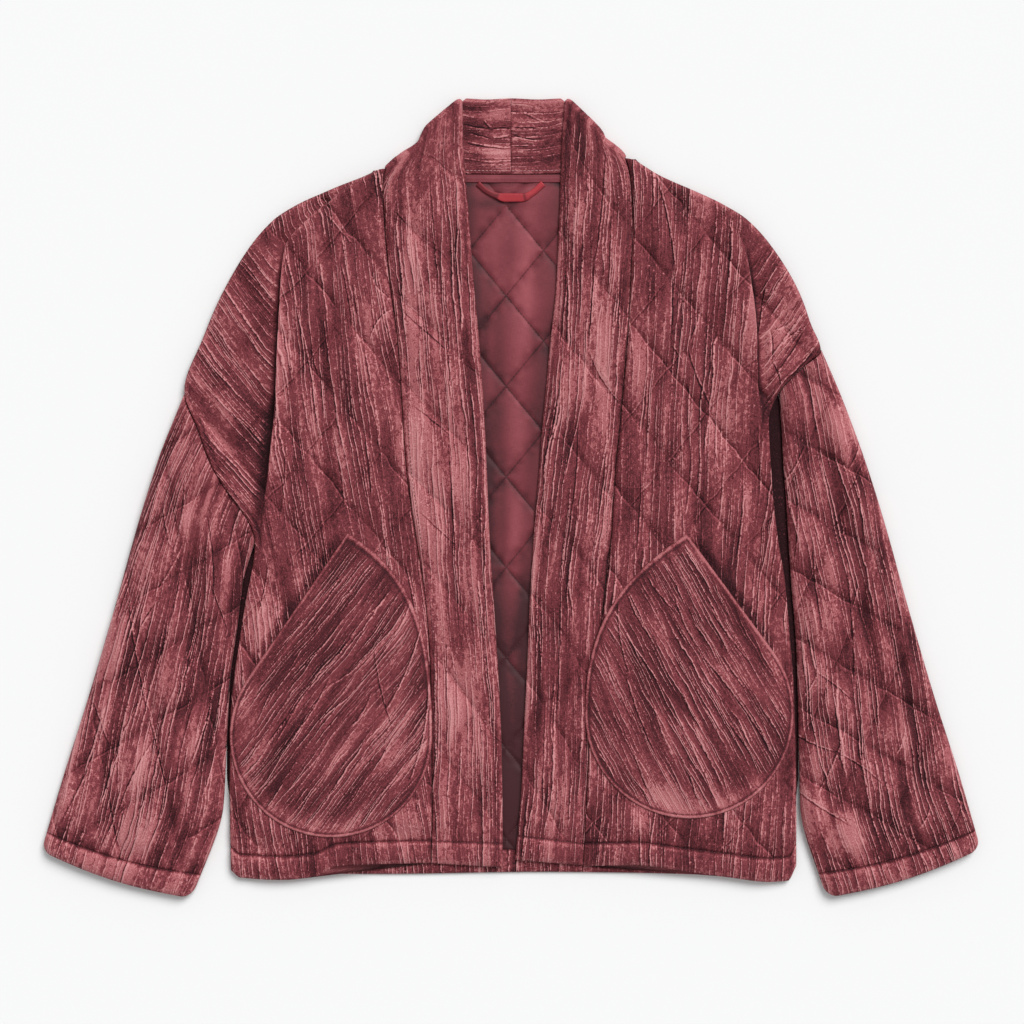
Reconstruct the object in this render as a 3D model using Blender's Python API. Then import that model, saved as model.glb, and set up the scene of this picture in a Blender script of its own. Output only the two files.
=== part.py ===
"""A short quilted velvet coat with an open front, laid out flat on its back.

Metres, +Z up. The coat rests on z = 0, its collar towards +Y and its hem towards -Y.
Sides are the wearer's: the right side is at -X.
"""

from collections import namedtuple

import bmesh
import bpy
import numpy as np
from mathutils import Vector
from mathutils.geometry import delaunay_2d_cdt

for old in list(bpy.data.objects):
    bpy.data.objects.remove(old, do_unlink=True)

# Cloth walls and how the layers lie on each other
GAP = 0.0003                # between pieces at a seam or where one lies on another
BACK_WALL = 0.0040          # velvet and wadding of the back, pressed flat
STITCH_WALL = 0.0035        # quilted cloth along a line of stitches
PUFF_WALL = 0.0085          # quilted cloth in the middle of a diamond
LINING_WALL = 0.0008        # lining along a line of stitches
LINING_PUFF = 0.0026        # lining in the middle of a diamond
POCKET_WALL = 0.0020
POCKET_PUFF = 0.0040
TAPE_WALL = 0.0010
LINING_LEVEL = BACK_WALL + GAP
FRONT_LEVEL = LINING_LEVEL + LINING_PUFF + GAP      # plain inside of the fronts and bands
COLLAR_LEVEL = 0.0055                               # face of the back collar that looks up
TAPE_LEVEL = COLLAR_LEVEL + GAP
SEAM_ROOM = 0.0010          # the same along the curved band seam
EDGE_ROLL = 0.045           # how far in from a closed edge the front reaches its full level

# Quilting: diamonds on a lattice that parts each one into steps
DIAMOND_WIDTH = 0.071
DIAMOND_HEIGHT = 0.086
STEPS = 6
HEM_DEPTH = 0.022           # turned hem, down from its line of stitches
CUFF_DEPTH = 0.021

# Fronts, a row for each level: the outer edge along the shoulder, armhole and side
FrontRow = namedtuple("FrontRow", "y outer_x")
FRONT_ROWS = {
    "right": [
        FrontRow(0.3105, -0.131), FrontRow(0.307, -0.138), FrontRow(0.293, -0.172),
        FrontRow(0.279, -0.203), FrontRow(0.265, -0.225), FrontRow(0.236, -0.250),
        FrontRow(0.193, -0.275), FrontRow(0.151, -0.293), FrontRow(0.103, -0.310),
        FrontRow(0.063, -0.296), FrontRow(0.031, -0.284), FrontRow(0.004, -0.267),
        FrontRow(-0.024, -0.248), FrontRow(-0.040, -0.243), FrontRow(-0.104, -0.253),
        FrontRow(-0.164, -0.262), FrontRow(-0.201, -0.266), FrontRow(-0.286, -0.267),
        FrontRow(-0.353, -0.266),
    ],
    "left": [
        FrontRow(0.3205, 0.119), FrontRow(0.307, 0.141), FrontRow(0.293, 0.172),
        FrontRow(0.279, 0.202), FrontRow(0.265, 0.224), FrontRow(0.236, 0.250),
        FrontRow(0.193, 0.275), FrontRow(0.165, 0.285), FrontRow(0.141, 0.294),
        FrontRow(0.123, 0.275), FrontRow(0.100, 0.254), FrontRow(0.075, 0.245),
        FrontRow(0.015, 0.248), FrontRow(-0.042, 0.254), FrontRow(-0.077, 0.260),
        FrontRow(-0.134, 0.265), FrontRow(-0.191, 0.269), FrontRow(-0.305, 0.271),
        FrontRow(-0.349, 0.271),
    ],
}
SHOULDER_END = {"right": 0.103, "left": 0.141}      # level where the armhole seam starts
UNDERARM = {"right": -0.040, "left": 0.075}         # level where it meets the side seam

# Hems, a row for each dip or rise along X
HemRow = namedtuple("HemRow", "x y")
FRONT_HEM = {
    "right": [
        HemRow(-0.266, -0.353), HemRow(-0.257, -0.360), HemRow(-0.218, -0.362),
        HemRow(-0.187, -0.359), HemRow(-0.163, -0.349), HemRow(-0.125, -0.347),
        HemRow(-0.076, -0.346), HemRow(-0.038, -0.350), HemRow(-0.008, -0.350),
    ],
    "left": [
        HemRow(0.004, -0.343), HemRow(0.020, -0.346), HemRow(0.060, -0.349),
        HemRow(0.118, -0.348), HemRow(0.165, -0.354), HemRow(0.210, -0.360),
        HemRow(0.245, -0.364), HemRow(0.263, -0.363), HemRow(0.271, -0.349),
    ],
}
BACK_HEM = [
    HemRow(-0.266, -0.353), HemRow(-0.240, -0.357), HemRow(-0.120, -0.357),
    HemRow(0.030, -0.355), HemRow(0.120, -0.356), HemRow(0.240, -0.359),
    HemRow(0.271, -0.349),
]

# Neck of the back, where the collar halves meet it
NeckRow = namedtuple("NeckRow", "x y")
BACK_NECK = [
    NeckRow(-0.123, 0.3080), NeckRow(-0.060, 0.309), NeckRow(0.000, 0.307),
    NeckRow(0.058, 0.311), NeckRow(0.112, 0.3170),
]
LINING_HALF_WIDTH = 0.088
LINING_END = -0.334         # top of the velvet hem facing inside the back

# Bands, a row for each section up the front: free edge and seam edge
BandRow = namedtuple("BandRow", "free_x free_y seam_x seam_y")
BAND_ROWS = {
    "right": [
        BandRow(-0.0075, -0.350, -0.0755, -0.346), BandRow(-0.008, -0.284, -0.0745, -0.284),
        BandRow(-0.009, -0.228, -0.0755, -0.222), BandRow(-0.012, -0.165, -0.0765, -0.160),
        BandRow(-0.016, -0.100, -0.0805, -0.100), BandRow(-0.020, -0.039, -0.0895, -0.040),
        BandRow(-0.023, 0.031, -0.0995, 0.031), BandRow(-0.026, 0.094, -0.1035, 0.094),
        BandRow(-0.030, 0.148, -0.1075, 0.151), BandRow(-0.036, 0.215, -0.1155, 0.210),
        BandRow(-0.041, 0.285, -0.1200, 0.262), BandRow(-0.045, 0.336, -0.1215, 0.296),
        BandRow(-0.0495, 0.3755, -0.1185, 0.3110),
    ],
    "left": [
        BandRow(0.004, -0.343, 0.0685, -0.348), BandRow(0.010, -0.272, 0.0715, -0.284),
        BandRow(0.0125, -0.214, 0.0745, -0.222), BandRow(0.0155, -0.155, 0.0805, -0.160),
        BandRow(0.0175, -0.100, 0.0875, -0.100), BandRow(0.021, -0.045, 0.0945, -0.042),
        BandRow(0.026, 0.023, 0.0985, 0.023), BandRow(0.031, 0.084, 0.1045, 0.084),
        BandRow(0.037, 0.146, 0.1105, 0.151), BandRow(0.043, 0.205, 0.1135, 0.210),
        BandRow(0.046, 0.275, 0.1155, 0.268), BandRow(0.048, 0.334, 0.1125, 0.306),
        BandRow(0.0545, 0.3755, 0.1080, 0.3210),
    ],
}
FOLD_SINK = 0.005           # how far the fold at the neck sinks in at its crease
FOLD_CREASE = 0.66          # where that crease is, as a share of the band from its free edge
FOLD_SPREAD = 0.20          # how wide it is, as such a share
COLLAR_TOP = 0.3800         # free edge of the back collar
CENTRE_BACK = 0.0003        # half the gap between the collar halves
BAND_COLUMNS = 6

# Sleeves, a row for each section: outer fold, inner edge, and how far it bows to the cuff
SleeveRow = namedtuple("SleeveRow", "outer_x outer_y inner_x inner_y bow")
SLEEVE_ROWS = {
    "right": [
        SleeveRow(-0.3135, 0.098, -0.2475, -0.044, 0.0080),
        SleeveRow(-0.335, 0.037, -0.2545, -0.080, 0.005),
        SleeveRow(-0.353, -0.020, -0.2590, -0.116, 0.002),
        SleeveRow(-0.377, -0.106, -0.2665, -0.172, 0.000),
        SleeveRow(-0.402, -0.191, -0.2705, -0.230, 0.004),
        SleeveRow(-0.4245, -0.262, -0.2735, -0.290, 0.006),
        SleeveRow(-0.4460, -0.3345, -0.3030, -0.3795, 0.006),
    ],
    "left": [
        SleeveRow(0.2960, 0.1400, 0.2568, 0.098, 0.000),
        SleeveRow(0.315, 0.094, 0.2575, 0.056, 0.000),
        SleeveRow(0.336, 0.037, 0.2615, -0.006, 0.000),
        SleeveRow(0.354, -0.020, 0.2655, -0.072, 0.000),
        SleeveRow(0.378, -0.106, 0.2715, -0.148, 0.002),
        SleeveRow(0.403, -0.191, 0.2745, -0.224, 0.005),
        SleeveRow(0.426, -0.263, 0.2775, -0.291, 0.006),
        SleeveRow(0.4460, -0.3325, 0.2995, -0.3790, 0.006),
    ],
}
SLEEVE_SLOT = 0.0034        # space left between the sleeve's two layers
SLEEVE_SIDE = 0.0060        # cloth at the two side folds
SLEEVE_COLUMNS = 12
HEAD_ROOM = 0.0018          # between the body's edge and the sleeve
HEAD_FADE = 0.045           # how far down the sleeve the armhole's curve dies away
UNDERARM_END = -0.240       # where the back no longer reaches out to the sleeve

# Pockets: a round bag drawn up to a corner, straight along the hand opening. The inner side
# goes straight up from the bag as far as side_y and turns in to the corner from turn_x, turn_y.
Pocket = namedtuple("Pocket", "corner_x corner_y centre_x centre_y radius side_y turn_x turn_y")
POCKETS = {
    "right": Pocket(-0.1545, -0.0325, -0.1705, -0.225, 0.096, -0.115, -0.098, -0.068),
    "left": Pocket(0.1665, -0.0335, 0.169, -0.204, 0.099, -0.110, 0.112, -0.070),
}

# Pleat of each front along the armhole: the body stands up over the shoulder beside it
PleatRow = namedtuple("PleatRow", "x y")
PLEAT_ROWS = {
    "right": [
        PleatRow(-0.216, 0.236), PleatRow(-0.221, 0.170), PleatRow(-0.224, 0.100),
        PleatRow(-0.232, 0.020), PleatRow(-0.237, -0.015),
    ],
    "left": [
        PleatRow(0.223, 0.240), PleatRow(0.231, 0.206), PleatRow(0.235, 0.160),
        PleatRow(0.237, 0.112), PleatRow(0.239, 0.085),
    ],
}
PLEAT_RISE = 0.0075
PLEAT_STEP = 0.006          # width of the step at the pleat
PLEAT_REACH = 0.050         # how far in over the body it dies away

# Folds of the laid cloth, raised along a line across a front or along a sleeve
Fold = namedtuple("Fold", "start_x start_y end_x end_y width rise")
FRONT_FOLDS = {
    "right": [
        Fold(-0.150, 0.240, -0.135, 0.020, 0.026, 0.0030),
        Fold(-0.130, -0.345, -0.095, -0.270, 0.026, 0.0035),
    ],
    "left": [
        Fold(0.150, 0.250, 0.140, 0.030, 0.026, 0.0030),
        Fold(0.120, -0.345, 0.100, -0.290, 0.026, 0.0030),
    ],
}
SLEEVE_FOLDS = {
    "right": [
        Fold(-0.320, 0.060, -0.400, -0.230, 0.022, 0.0045),
        Fold(-0.272, -0.020, -0.345, -0.330, 0.024, 0.0035),
    ],
    "left": [
        Fold(0.300, 0.090, 0.395, -0.240, 0.022, 0.0045),
        Fold(0.285, -0.020, 0.335, -0.330, 0.024, 0.0035),
    ],
}

# Hanger loop, a row for each point along the ribbon's middle
LoopRow = namedtuple("LoopRow", "x y")
LOOP_ROWS = [
    LoopRow(-0.0315, 0.2975), LoopRow(-0.0255, 0.2910), LoopRow(-0.0105, 0.2845),
    LoopRow(0.0150, 0.2840), LoopRow(0.0255, 0.2905), LoopRow(0.0315, 0.2975),
]
LOOP_WIDTH = 0.0065
LOOP_WALL = 0.0010
TAPE_WIDTH = 0.0075
TAPE_HALF_LENGTH = 0.062

Finish = namedtuple("Finish", "colour roughness")
FINISHES = {
    "velvet": Finish((0.25, 0.085, 0.095, 1.0), 0.75),
    "lining": Finish((0.22, 0.055, 0.07, 1.0), 0.55),
    "ribbon": Finish((0.42, 0.035, 0.04, 1.0), 0.35),
}

coat = bpy.data.collections.new("quilted_coat")
bpy.context.scene.collection.children.link(coat)


def smooth(knots, values, at):
    """Read a curve through the knots that is smooth and never overshoots them."""
    knots = np.asarray(knots, float)
    values = np.asarray(values, float)
    if knots[0] > knots[-1]:
        knots = knots[::-1]
        values = values[::-1]
    step = np.diff(knots)
    slope = np.diff(values) / step
    tangent = np.empty_like(values)
    tangent[0] = slope[0]
    tangent[-1] = slope[-1]
    same = slope[:-1] * slope[1:] > 0
    total = np.where(same, slope[:-1] + slope[1:], 1.0)
    tangent[1:-1] = np.where(same, 2 * slope[:-1] * slope[1:] / total, 0.0)
    at = np.asarray(at, float)
    i = np.clip(np.searchsorted(knots, at) - 1, 0, len(step) - 1)
    t = np.clip((at - knots[i]) / step[i], 0, 1)
    s = 1 - t
    return (values[i] * s * s * (1 + 2 * t) + values[i + 1] * t * t * (1 + 2 * s)
            + step[i] * s * t * (s * tangent[i] - t * tangent[i + 1]))


def column(rows, name):
    return np.array([getattr(row, name) for row in rows])


def spaced(points, step):
    """Points along a polyline at about the given step, ends kept."""
    points = np.asarray(points, float)
    run = np.r_[0, np.cumsum(np.linalg.norm(np.diff(points, axis=0), axis=1))]
    count = max(1, round(run[-1] / step))
    at = np.linspace(0, run[-1], count + 1)
    return np.stack([np.interp(at, run, points[:, k]) for k in range(points.shape[1])], axis=1)


def curve(rows, across, along, start, end, count=200):
    """Dense points of one named column of a table against another."""
    at = np.linspace(start, end, count)
    return np.stack([smooth(column(rows, along), column(rows, across), at), at], axis=1)


def to_line(x, y, line):
    """Distance from points to a polyline."""
    p = np.stack([np.ravel(x), np.ravel(y)], axis=1)[:, None]
    a = np.asarray(line)[None, :-1]
    d = np.asarray(line)[None, 1:] - a
    t = np.clip(((p - a) * d).sum(-1) / np.maximum((d * d).sum(-1), 1e-12), 0, 1)
    return np.linalg.norm(p - a - t[..., None] * d, axis=-1).min(1).reshape(np.shape(x))


def fold_rise(x, y, folds):
    """Height that the folds add, fading out to each fold's two ends."""
    rise = np.zeros(np.shape(x))
    for fold in folds:
        start = np.array([fold.start_x, fold.start_y])
        run = np.array([fold.end_x, fold.end_y]) - start
        length = np.linalg.norm(run)
        along = ((x - start[0]) * run[0] + (y - start[1]) * run[1]) / length ** 2
        off = ((x - start[0]) * run[1] - (y - start[1]) * run[0]) / length
        fade = np.sin(np.pi * np.clip(along, 0, 1)) ** 0.5
        rise += fold.rise * fade * np.exp(-(off / fold.width) ** 2)
    return rise


def pleat_rise(x, y, rows, sign):
    """Height that a pleat adds on its body side, fading out to its two ends."""
    line = curve(rows, "x", "y", rows[0].y, rows[-1].y)
    inward = (smooth(column(rows, "y"), column(rows, "x"), y) - x) * sign
    away = np.where(inward > 0, 1, -1) * to_line(x, y, line)
    step = np.clip(away / PLEAT_STEP, 0, 1)
    along = np.clip((rows[0].y - y) / (rows[0].y - rows[-1].y), 0, 1)
    fade = np.sin(np.pi * (0.04 + 0.92 * along)) ** 0.6
    fade = fade * np.exp(-(np.maximum(0, y - rows[0].y) / 0.02) ** 2)
    fade = fade * np.exp(-(np.maximum(0, rows[-1].y - y) / 0.02) ** 2)
    dying = np.clip(1 - away / PLEAT_REACH, 0, 1)
    return PLEAT_RISE * fade * step * step * (3 - 2 * step) * dying


def puff(i, j):
    """Loft of a lattice point, 0 on a line of stitches and 1 in the middle of a diamond."""
    u = np.sin(np.pi * (i + j) / STEPS)
    v = np.sin(np.pi * (i - j) / STEPS)
    return np.abs(u * v) ** 0.6


def join_flat(bm, inside):
    """Join the triangles of a cloth's inside wherever it is truly flat."""
    faces = {f for f in bm.faces if all(v in inside for v in f.verts)}
    touched = {e for f in faces for e in f.edges}
    rim = {e for e in touched if not all(f in faces for f in e.link_faces)}
    edges = touched - rim
    verts = {v for e in edges for v in e.verts} - {v for e in rim for v in e.verts}
    bmesh.ops.dissolve_limit(bm, angle_limit=0.002, verts=list(verts), edges=list(edges))


def finish_object(name, bm, slot):
    """Make an object of the coat from a bmesh, with a material of its own."""
    bmesh.ops.recalc_face_normals(bm, faces=bm.faces[:])
    if bm.calc_volume(signed=True) < 0:
        bmesh.ops.reverse_faces(bm, faces=bm.faces[:])
    mesh = bpy.data.meshes.new(name)
    bm.to_mesh(mesh)
    bm.free()
    material = bpy.data.materials.new(name + "_" + slot)
    material.use_nodes = True
    shader = material.node_tree.nodes["Principled BSDF"]
    shader.inputs["Base Color"].default_value = FINISHES[slot].colour
    shader.inputs["Roughness"].default_value = FINISHES[slot].roughness
    shader.inputs["Metallic"].default_value = 0.0
    mesh.materials.append(material)
    mesh.shade_smooth()
    mesh.set_sharp_from_angle(angle=0.9)
    obj = bpy.data.objects.new(name, mesh)
    coat.objects.link(obj)
    return obj


def raise_cloth(name, flat, faces, inside, wall, slot):
    """Close a cut of cloth: a plain inside, and outer points raised over it by the wall."""
    bm = bmesh.new()
    points = [bm.verts.new((x, y, z)) for (x, y), z in zip(flat, inside)]
    thickness = {v: w for v, w in zip(points, wall)}
    for face in faces:
        bm.faces.new([points[k] for k in face])
    place = {v.co.to_tuple(7)[:2]: thickness[v] for v in points}
    grown = bmesh.ops.extrude_face_region(bm, geom=bm.faces[:])["geom"]
    for v in grown:
        if isinstance(v, bmesh.types.BMVert):
            v.co.z += place[v.co.to_tuple(7)[:2]]
    join_flat(bm, set(points))
    return finish_object(name, bm, slot)


def cut_cloth(outline, origin, edge_lines, clear=0.005):
    """Triangulate an outline with the quilting lattice in it, its stitch lines kept as edges.

    edge_lines are further lines to keep, such as a hem's. Returns points, faces and the loft
    of each point, which is 0 on the outline and along those lines.
    """
    outline = np.asarray(outline)
    points = [tuple(p) for p in outline]
    loft = [0.0] * len(points)
    edges = []
    lines = [np.vstack([outline, outline[:1]])]
    for line, line_loft in edge_lines:
        first = len(points)
        points += [tuple(p) for p in line]
        loft += [line_loft] * len(line)
        edges += [(first + k, first + k + 1) for k in range(len(line) - 1)]
        lines.append(np.asarray(line))
    step_x = DIAMOND_WIDTH / STEPS
    step_y = DIAMOND_HEIGHT / STEPS
    low = np.floor((outline.min(0) - origin) / (step_x, step_y)).astype(int)
    high = np.ceil((outline.max(0) - origin) / (step_x, step_y)).astype(int)
    i, j = np.meshgrid(np.arange(low[0], high[0] + 1), np.arange(low[1], high[1] + 1))
    i = i.ravel()
    j = j.ravel()
    x = origin[0] + i * step_x
    y = origin[1] + j * step_y
    keep = inside_of(x, y, outline)
    for line in lines:
        keep &= to_line(x, y, line) > clear
    index = {}
    for a, b, px, py in zip(i[keep], j[keep], x[keep], y[keep]):
        index[(a, b)] = len(points)
        points.append((px, py))
        loft.append(float(puff(a, b)))
    for (a, b), here in index.items():
        if (a + b) % STEPS == 0 and (a + 1, b - 1) in index:
            edges.append((here, index[(a + 1, b - 1)]))
        if (a - b) % STEPS == 0 and (a + 1, b + 1) in index:
            edges.append((here, index[(a + 1, b + 1)]))
    ring = list(range(len(outline)))
    made = delaunay_2d_cdt([Vector(p) for p in points], edges, [ring], 1, 1e-6)
    flat = np.array([tuple(v) for v in made[0]])
    source = [ids[0] if ids else -1 for ids in made[3]]
    values = np.array([loft[k] if k >= 0 else 0.0 for k in source])
    return flat, made[2], values


def inside_of(x, y, outline):
    """Whether points lie inside a closed outline."""
    a = np.asarray(outline)
    b = np.roll(a, -1, axis=0)
    crosses = (a[None, :, 1] > y[:, None]) != (b[None, :, 1] > y[:, None])
    slope = (b[:, 0] - a[:, 0]) / np.where(b[:, 1] == a[:, 1], 1e-12, b[:, 1] - a[:, 1])
    hit = a[None, :, 0] + (y[:, None] - a[None, :, 1]) * slope[None]
    return (np.sum(crosses & (x[:, None] < hit), axis=1) % 2) == 1


def front_level(x, y, side):
    """Inside of a front: low along its closed edges, and up over the lining elsewhere."""
    rows = FRONT_ROWS[side]
    shoulder = curve(rows, "outer_x", "y", rows[0].y, SHOULDER_END[side] + 0.015)
    seam = curve(rows, "outer_x", "y", UNDERARM[side] - 0.015, rows[-1].y)
    away = np.minimum(to_line(x, y, shoulder), to_line(x, y, seam))
    t = np.clip(away / EDGE_ROLL, 0, 1)
    low = BACK_WALL + GAP
    return low + (FRONT_LEVEL - low) * t * t * (3 - 2 * t)


def grid_faces(rows, columns, closed):
    """Triangles of a grid of points, split along the quilting's stitch lines."""
    faces = []
    around = columns if closed else columns - 1
    for j in range(rows - 1):
        for i in range(around):
            a = j * columns + i
            b = j * columns + (i + 1) % columns
            c = b + columns
            d = a + columns
            if (i - j) % STEPS == 0 or (i + j + 1) % STEPS == 2:
                faces += [(a, b, c), (a, c, d)]
            else:
                faces += [(a, b, d), (b, c, d)]
    return faces


def wall_from_grid(name, grid, wall, closed, slot):
    """Close a grid of inside points with outer points moved out along the normals."""
    rows, columns = grid.shape[:2]
    mesh = bpy.data.meshes.new(name + "_inside")
    mesh.from_pydata(grid.reshape(-1, 3).tolist(), [], grid_faces(rows, columns, closed))
    mesh.update()
    normals = np.array([tuple(v.normal) for v in mesh.vertices])
    bm = bmesh.new()
    bm.from_mesh(mesh)
    bpy.data.meshes.remove(mesh)
    plain = set(bm.verts)
    moved = {}
    for v, normal, w in zip(bm.verts, normals, np.ravel(wall)):
        moved[v.co.to_tuple(7)] = Vector(normal) * w
    grown = bmesh.ops.extrude_face_region(bm, geom=bm.faces[:])["geom"]
    for v in grown:
        if isinstance(v, bmesh.types.BMVert):
            v.co += moved[v.co.to_tuple(7)]
    join_flat(bm, plain)
    return finish_object(name, bm, slot)


def plate(name, outline, low, thickness, slot):
    """A flat plate of cloth from its outline."""
    bm = bmesh.new()
    face = bm.faces.new([bm.verts.new((x, y, low)) for x, y in outline])
    grown = bmesh.ops.extrude_face_region(bm, geom=[face])["geom"]
    for v in grown:
        if isinstance(v, bmesh.types.BMVert):
            v.co.z += thickness
    return finish_object(name, bm, slot)


STEP = DIAMOND_WIDTH / STEPS


def pocket_outline(pocket, sign):
    """Points round the bag from its inner side, up the hand opening and back from the corner."""
    corner = np.array([pocket.corner_x, pocket.corner_y])
    centre = np.array([pocket.centre_x, pocket.centre_y])
    reach = centre - corner
    lean = np.arctan2(reach[1], reach[0])
    half = np.arccos(pocket.radius / np.linalg.norm(reach))
    outer = max((lean + np.pi - half, lean - np.pi + half), key=lambda turn: sign * np.cos(turn))
    start = np.pi if sign > 0 else 0.0
    turn = np.linspace(start, outer % (2 * np.pi) + sign * 2 * np.pi, 26)
    bag = centre + pocket.radius * np.stack([np.cos(turn), np.sin(turn)], axis=1)
    straight = spaced([bag[-1], corner], STEP)[1:]
    t = np.linspace(0, 1, 12)[1:-1, None]
    inner = (corner * (1 - t) ** 3 + np.array([pocket.turn_x, pocket.turn_y]) * 3 * t * (1 - t) ** 2
             + np.array([bag[0, 0], pocket.side_y]) * 3 * t ** 2 * (1 - t) + bag[0] * t ** 3)
    return np.vstack([bag, straight, inner])


def outer_edge(side):
    """Points down a panel's outer edge, with one at the corner where the shoulder ends."""
    rows = FRONT_ROWS[side]
    corner = SHOULDER_END[side]
    shoulder = spaced(curve(rows, "outer_x", "y", rows[0].y, corner), STEP)
    below = spaced(curve(rows, "outer_x", "y", corner, rows[-1].y), STEP)
    return np.vstack([shoulder, below[1:]])


# Back: both outer edges, out to the sleeves under the arms, its own hem and the neck
edges = {}
for side, sign in (("right", -1), ("left", 1)):
    edge = outer_edge(side)
    sleeve = SLEEVE_ROWS[side]
    inner_x = smooth(column(sleeve, "inner_y"), column(sleeve, "inner_x"), edge[:, 1])
    short = np.maximum(0, np.abs(inner_x) - HEAD_ROOM - np.abs(edge[:, 0]))
    short *= np.clip((sleeve[0].inner_y - 0.004 - edge[:, 1]) / 0.010, 0, 1)
    short *= np.clip((edge[:, 1] - UNDERARM_END) / 0.040, 0, 1)
    edges[side] = edge + np.c_[sign * short, 0 * short]
hem = spaced(curve(BACK_HEM, "y", "x", BACK_HEM[0].x, BACK_HEM[-1].x)[:, ::-1], STEP)
neck = spaced(curve(BACK_NECK, "y", "x", BACK_NECK[-1].x, BACK_NECK[0].x)[:, ::-1], STEP)
back_outline = np.vstack([edges["right"][1:-1], hem, edges["left"][::-1][1:-1], neck])
plate("back", back_outline, 0.0, BACK_WALL, "velvet")

# Back lining, in the open front and a little way under the bands
lining_neck = neck[np.abs(neck[:, 0]) < LINING_HALF_WIDTH]
lining_foot = spaced([(-LINING_HALF_WIDTH, LINING_END), (LINING_HALF_WIDTH, LINING_END)], STEP)
lining_sides = {
    sign: spaced([(sign * LINING_HALF_WIDTH, lining_neck[0 if sign > 0 else -1][1]),
                  (sign * LINING_HALF_WIDTH, LINING_END)], STEP)
    for sign in (-1, 1)
}
lining_outline = np.vstack([
    lining_sides[-1][:-1], lining_foot[:-1], lining_sides[1][::-1][:-1], lining_neck,
])
flat, faces, loft = cut_cloth(lining_outline, np.array([-0.0045, 0.1065]), [])
loft *= np.clip(to_line(flat[:, 0], flat[:, 1], neck) / 0.022, 0, 1)
raise_cloth("back_lining", flat, faces, np.full(len(flat), LINING_LEVEL),
            LINING_WALL + (LINING_PUFF - LINING_WALL) * loft, "lining")

# Fronts and their pockets
QUILT_ORIGIN = {"right": np.array([-0.0865, -0.086]), "left": np.array([0.079, 0.036])}
for side, sign in (("right", -1), ("left", 1)):
    rows = FRONT_ROWS[side]
    outer = outer_edge(side)
    band = BAND_ROWS[side]
    seam = spaced(curve(band, "seam_x", "seam_y", rows[0].y, band[0].seam_y), STEP)
    seam[:, 0] += sign * SEAM_ROOM
    hem_rows = FRONT_HEM[side]
    ends = (hem_rows[0].x, hem_rows[-1].x)
    hem = curve(hem_rows, "y", "x", *ends)[:, ::-1]
    own = np.abs(hem[:, 0]) > abs(seam[-1, 0])
    hem = spaced(hem[own], STEP)
    if side == "left":
        hem = hem[::-1]
    seam[-1] = hem[-1]
    front_outline = np.vstack([outer[:-1], hem, seam[::-1][1:-1]])
    inner_hem = hem[1:-1]
    pleat = PLEAT_ROWS[side]
    step_line = spaced(curve(pleat, "x", "y", pleat[0].y, pleat[-1].y), STEP)
    kept = [
        (inner_hem + (0, HEM_DEPTH), 0.0), (inner_hem + (0, HEM_DEPTH / 2), 0.7),
        (step_line, 0.1), (step_line - (sign * PLEAT_STEP, 0), 0.4),
    ]
    flat, faces, loft = cut_cloth(front_outline, QUILT_ORIGIN[side], kept)
    x = flat[:, 0]
    y = flat[:, 1]
    away = to_line(x, y, np.vstack([front_outline, front_outline[:1]]))
    wall = STITCH_WALL + (PUFF_WALL - STITCH_WALL) * loft
    folds = fold_rise(x, y, FRONT_FOLDS[side]) + pleat_rise(x, y, pleat, sign)
    wall += folds * np.clip(away / 0.012, 0, 1)
    raise_cloth("front_" + side, flat, faces, front_level(x, y, side), wall, "velvet")

    pocket = POCKETS[side]
    corner = np.array([pocket.corner_x, pocket.corner_y])
    flat, faces, loft = cut_cloth(pocket_outline(pocket, sign), corner, [])
    lie = front_level(flat[:, 0], flat[:, 1], side) + PUFF_WALL + GAP
    lie += np.maximum(fold_rise(flat[:, 0], flat[:, 1], FRONT_FOLDS[side]), 0)
    raise_cloth("pocket_" + side, flat, faces, lie,
                POCKET_WALL + (POCKET_PUFF - POCKET_WALL) * (0.4 + 0.6 * loft), "velvet")

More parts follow.
